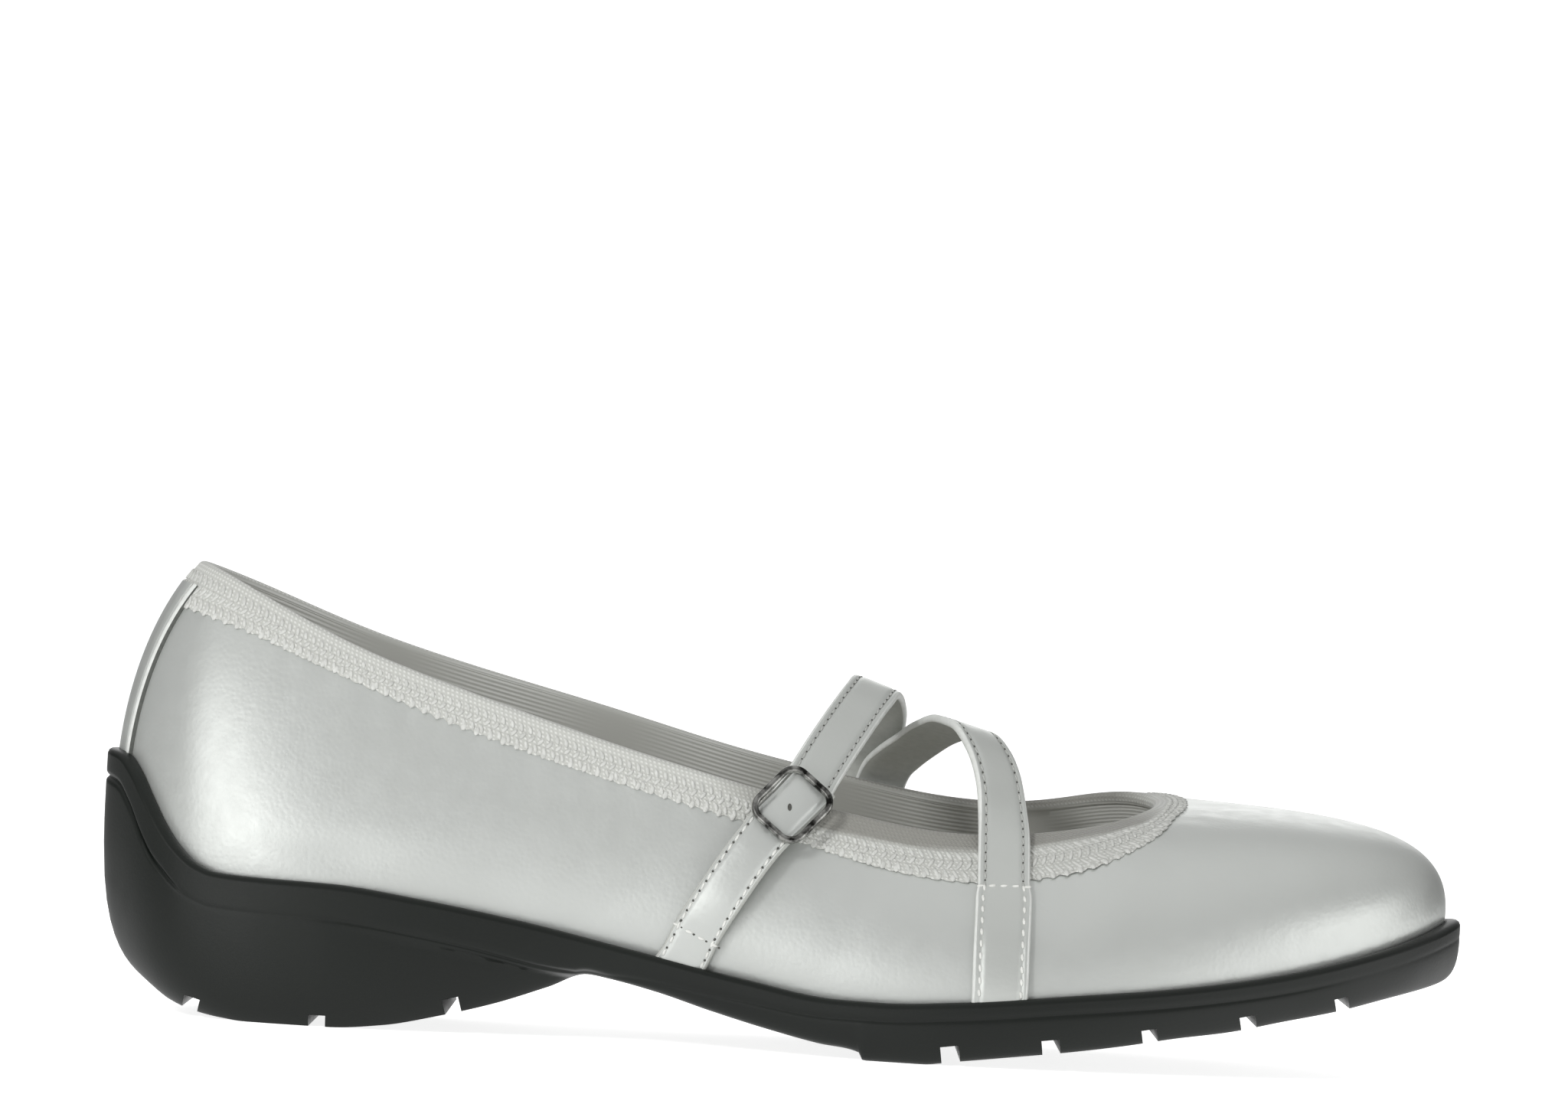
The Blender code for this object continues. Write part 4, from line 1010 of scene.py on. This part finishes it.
# Buckle tab: a short padded strap sewn into the sole on the lateral side, free above its cross seam. It runs
# under the buckle's lower bar, swells up in the buckle's window and ends under the upper bar.
TAB_LIFT = 2.4  # over the rear strap
BUCKLE_TAB = [
    Stuck(107.9, 13.6, 0.4), Stuck(110.2, 17.4, 0.5), Stuck(112.2, 21.8, 0.9), Stuck(116.6, 29.0, 2.3),
    Stuck(120.8, 35.4, 2.9), Stuck(124.6, 40.6, 2.7), Stuck(128.2, 44.8, TAB_LIFT),
    Stuck(131.5, 49.1, TAB_LIFT),
]
CROSS_SEAM_TAB = 20.8
TAB_WIDTH, TAB_SEAM_IN, TAB_HOLE = 9.0, 0.95, 0.52
BUCKLE_AT = (128.0, 44.5)  # x and z of the buckle's middle
BUCKLE_LONG, BUCKLE_WIDE, BUCKLE_CORNER = 13.4, 11.9, 3.4
BAR_WIDE, BAR_HIGH = 1.3, 1.5
TAB_PAD, WINDOW_PAD = 0.35, 0.75  # how far the padded leather rises along the tab and in the window
PAD_FADE = 2.5
TAPER_AHEAD, TAPER_RUN, WINDOW_GAP = 2, 3, 0.1  # the tab narrows ahead of the buckle to fit its window

tab_run, tab_centre, tab_facing, tab_across = strap_frames(BUCKLE_TAB)
buckle_seat = int(np.argmin(np.hypot(tab_centre[:, 0] - BUCKLE_AT[0], tab_centre[:, 2] - BUCKLE_AT[1])))
buckle_run = tab_run[buckle_seat]


def tab_width(run, height):
    """Narrow enough for the buckle's window at its upper end."""
    into_buckle = np.clip((run - buckle_run + BUCKLE_LONG / 2 + TAPER_AHEAD) / TAPER_RUN, 0, 1)
    return TAB_WIDTH + (BUCKLE_WIDE - 2 * BAR_WIDE - WINDOW_GAP - TAB_WIDTH) * into_buckle


def tab_crown(run, height):
    """Padded from the cross seam up to the buckle's lower bar, and again in its window."""
    from_middle = np.abs(run - buckle_run) / (BUCKLE_LONG / 2 - BAR_WIDE / 2)
    below_bar = (run < buckle_run) * np.clip((from_middle - 1) * PAD_FADE, 0, 1)
    padded = np.clip((height - CROSS_SEAM_TAB) / PAD_FADE, 0, 1) * below_bar
    return TAB_PAD * padded + WINDOW_PAD * np.clip(1 - from_middle**2, 0, 1)


make_strap("buckle_tab_leather", "buckle_tab", BUCKLE_TAB,
           edge_seams(CROSS_SEAM_TAB, buckle_run - BUCKLE_LONG / 2, TAB_SEAM_IN), tab_width, tab_crown,
           silver, pale_thread, strap_back, TAB_SEAM_IN, TAB_HOLE)

# The punched hole in the tab, in the buckle's window: a small slot with a raised lip, painted dark as the shade
# inside it.
HOLE_LONG, HOLE_WIDE, HOLE_DOWN = 1.5, 0.75, 0.8
HOLE_DISH = [(0.6, -0.5), (1.0, -0.3), (1.0, 0.06), (0.85, 0.1), (0.7, 0.08), (0.3, 0.06)]  # share out, rise
ROUND = np.linspace(0, math.tau, 16, endpoint=False)
hole_at = int(np.argmin(np.abs(tab_run - buckle_run + HOLE_DOWN)))
hole_out = tab_facing[hole_at]
hole_middle = tab_centre[hole_at] + hole_out * (STRAP_THICK + FACE_RISE + WINDOW_PAD)
hole_rows = []
for share, rise in HOLE_DISH:
    for angle in ROUND:
        flat = np.array([math.cos(angle) * HOLE_WIDE / 2, 0.0, math.sin(angle) * HOLE_LONG / 2])
        flat -= hole_out * np.dot(flat, hole_out)
        hole_rows.append(hole_middle + flat * share + hole_out * rise)
faces = tube_faces(len(HOLE_DISH), len(ROUND))
fit_piece(make_mesh("punched_hole", hole_rows, faces), "silver_leather", [dark_hole_shade])

# Buckle: a rounded square frame of die-cast zinc, plated dark nickel and polished, that lies over the tab and
# the rear strap and joins them.
BUCKLE_LIFT = STRAP_THICK + 0.2
BAR_SQUARE = 0.8  # below 1, the bar's section is squarer than round
BEND_STEPS = 13  # round each corner

# Black nickel plate on zinc: a dark mirror, with fine polishing marks and pale patches painted into its colour as
# glints.
black_nickel, tree, shader = start_material("black_nickel_plate", Metallic=1.0)
place = add_node(tree, "ShaderNodeTexCoord").node.outputs["Object"]
marks = add_node(tree, "ShaderNodeTexNoise", {"Vector": place, "Scale": 1 / (2 * MM), "Detail": 4})
# Pale patches in the plate's colour are painted glints, placed by noise.
rubbed_and_glint_patches = add_node(tree, "ShaderNodeMapRange", zip(FADE, (marks, 0.4, 0.62)))
add_node(tree, "ShaderNodeMix", {"Factor": rubbed_and_glint_patches, "A": linear("#2a2a28"), "B": linear("#b4b4b0")},
         shader.inputs["Base Color"], data_type="RGBA")
add_node(tree, "ShaderNodeMapRange", zip(FADE, (marks, 0.0, 1.0, 0.12, 0.3)), shader.inputs["Roughness"])
add_node(tree, "ShaderNodeBump", {"Height": marks, "Strength": 0.12, "Distance": 0.05 * MM},
         shader.inputs["Normal"])

buckle_out, buckle_side = tab_facing[buckle_seat], tab_across[buckle_seat]
buckle_up = np.cross(buckle_out, buckle_side)
buckle_middle = tab_centre[buckle_seat] + buckle_out * (BUCKLE_LIFT + BAR_HIGH / 2)
half_long, half_wide = (BUCKLE_LONG - BAR_WIDE) / 2, (BUCKLE_WIDE - BAR_WIDE) / 2
bend = BUCKLE_CORNER - BAR_WIDE / 2
frame_path = []
for quarter, (side_x, side_y) in enumerate([(1, 1), (-1, 1), (-1, -1), (1, -1)]):
    corner = np.array([side_x * (half_wide - bend), side_y * (half_long - bend)])
    for angle in np.linspace(0, math.pi / 2, BEND_STEPS) + quarter * math.pi / 2:
        away = np.array([math.cos(angle), math.sin(angle)])
        frame_path.append((corner + away * bend, away))
bar_rows = []
for at, away in frame_path:
    middle = buckle_middle + buckle_side * at[0] + buckle_up * at[1]
    outwards = buckle_side * away[0] + buckle_up * away[1]
    for angle in ROUND:
        across_bar, over_bar = (
            abs(reach) ** BAR_SQUARE * math.copysign(1, reach) * size / 2
            for reach, size in ((math.cos(angle), BAR_WIDE), (math.sin(angle), BAR_HIGH))
        )
        bar_rows.append(middle + outwards * across_bar + buckle_out * over_bar)
faces = grid_faces(len(frame_path), len(ROUND), True)
fit_piece(make_mesh("nickel_buckle", bar_rows, faces), "dark_nickel", [black_nickel], "buckle_frame")

# Stage: a pale floor under soft studio light. The camera looks square at the lateral side, turned a little,
# as the shoe is seen in the photograph.
CAMERA_X, CAMERA_AWAY, CAMERA_Z = -0.00313, 1.6, 0.09059
CAMERA_ROLL, VIEW_WIDTH, SENSOR = 3.28, 0.29295, 36.0
FLOOR_REACH = 30  # in metres, as all sizes of the stage are
floor_mesh = bpy.data.meshes.new("studio_floor")
floor_corners = [(x * FLOOR_REACH, y * FLOOR_REACH, 0) for x, y in ((-1, -1), (1, -1), (1, 1), (-1, 1))]
floor_mesh.from_pydata(floor_corners, [], [(0, 1, 2, 3)])
floor = add_object("studio_floor", floor_mesh)
# A light table: white opal sheet lit from below, so that the shoe stands on white with hardly a shadow. It
# looks brighter than the light that it throws on the shoe.
FLOOR_GLOW, FLOOR_SEEN = 0.66, 0.84
floor_paint, tree, shader = start_material(
    "white_opal_floor", Roughness=0.8, Base_Color=linear("#f2f2f1"), Emission_Color=(1, 1, 1, 1))
seen = add_node(tree, "ShaderNodeLightPath")
add_node(tree, "ShaderNodeMapRange", zip(FADE, (seen, 0.0, 1.0, FLOOR_GLOW, FLOOR_SEEN)),
         shader.inputs["Emission Strength"])
floor_mesh.materials.append(floor_paint)
floor.visible_glossy = False  # kept out of reflections, so that the low leather is not washed out

# The room, by the way a ray goes: an even soft grey over a paler ground, dim past both ends of a tall white
# panel behind the shoe and dim behind the heel. It leaves the leather broad soft bands of light and shade.
ROOM_LEVELS = [  # sine of the height, and how bright it is there
    (-1.0, 0.75), (-0.12, 0.75), (0.02, 0.48), (0.2, 0.42), (0.5, 0.32), (0.8, 0.47), (1.0, 0.58),
]
PANEL_LEVEL, CARD_LEVEL, END_SHADE, HEEL_SHADE = 1.6, 1.9, 0.08, 0.4
world = bpy.data.worlds.new("studio_room")
bpy.context.scene.world = world
world.use_nodes = True
room = world.node_tree
looking = add_node(room, "ShaderNodeTexCoord").node.outputs["Generated"]
ahead, aside, up = add_node(room, "ShaderNodeSeparateXYZ", {"Vector": looking}).node.outputs
to_an_end = add_node(room, "ShaderNodeMath", {0: ahead}, operation="ABSOLUTE")
to_a_corner = add_node(room, "ShaderNodeMath", {0: to_an_end, 1: aside}, operation="ADD")
height, ends, heel_end, card, panel_width, panel_height, panel_depth = (
    add_node(room, "ShaderNodeMapRange", zip(FADE, values)) for values in (
        (up, -1.0, 1.0, 0.0, 1.0),
        (to_a_corner, 1.2, 1.38, 1.0, END_SHADE), (ahead, -0.75, -0.98, 1.0, HEEL_SHADE),
        (ahead, 0.3, 0.86, 1.0, CARD_LEVEL),  # a white card on the ground past the toe
        (to_an_end, 0.3, 0.14, 0.0, 1.0), (up, 0.68, 0.4, 0.0, 1.0), (aside, 0.3, 0.6, 0.0, 1.0),
    )
)
levels = add_node(room, "ShaderNodeValToRGB", {"Fac": height})
ramp = levels.node.color_ramp
for k, (sine, grey) in enumerate(ROOM_LEVELS):
    at = (sine + 1) / 2
    stop = ramp.elements[k] if k < 2 else ramp.elements.new(at)
    stop.position, stop.color = at, (grey, grey, grey, 1)
walls = add_node(room, "ShaderNodeMath", {0: ends, 1: heel_end}, operation="MULTIPLY")
walls = add_node(room, "ShaderNodeMapRange", zip(FADE, (up, -0.12, 0.0, card, walls)))
walls = add_node(room, "ShaderNodeMath", {0: levels, 1: walls}, operation="MULTIPLY")
panel = add_node(room, "ShaderNodeMath", {0: panel_width, 1: panel_height}, operation="MULTIPLY")
panel = add_node(room, "ShaderNodeMath", {0: panel, 1: panel_depth}, operation="MULTIPLY")
add_node(room, "ShaderNodeMapRange", zip(FADE, (panel, 0.0, 1.0, walls, PANEL_LEVEL)),
         room.nodes["Background"].inputs["Color"])


def soft_box(name, place, aim, wide, high, power, mirrored=True):
    """A soft light at a place in metres, turned to what it lights. It may be kept out of reflections."""
    light = bpy.data.lights.new(name, "AREA")
    light.shape, light.size, light.size_y, light.energy = "RECTANGLE", wide, high, power
    lamp = add_object(name, light)
    lamp.location = place
    lamp.rotation_euler = (Vector(aim) - Vector(place)).to_track_quat("-Z", "Y").to_euler()
    lamp.visible_glossy, lamp.visible_camera = mirrored, False


soft_box("key_light", (-0.7, -1.15, 0.75), (0, 0, 0.04), 0.25, 0.25, 9.0, mirrored=False)
soft_box("side_light", (-0.95, -0.98, 0.28), (-0.07, 0, 0.04), 0.9, 0.85, 2.8)
soft_box("top_light", (0.05, -0.3, 1.3), (0.02, 0, 0.03), 0.9, 0.8, 2.0, mirrored=False)
soft_box("low_light", (-0.58, -1.06, 0.08), (-0.08, 0, 0.03), 0.48, 0.14, 0.34)
soft_box("fill_light", (1.15, -0.5, 0.22), (0.08, 0, 0.03), 1.1, 0.45, 1.5)

camera_data = bpy.data.cameras.new("side_camera")
camera_data.sensor_width = SENSOR
camera_data.lens = SENSOR * CAMERA_AWAY / VIEW_WIDTH
camera = add_object("side_camera", camera_data)
camera.location = (CAMERA_X, -CAMERA_AWAY, CAMERA_Z)
camera.rotation_euler = (math.radians(90), math.radians(-CAMERA_ROLL), 0)
bpy.context.scene.camera = camera
bpy.context.scene.view_settings.view_transform = "Standard"
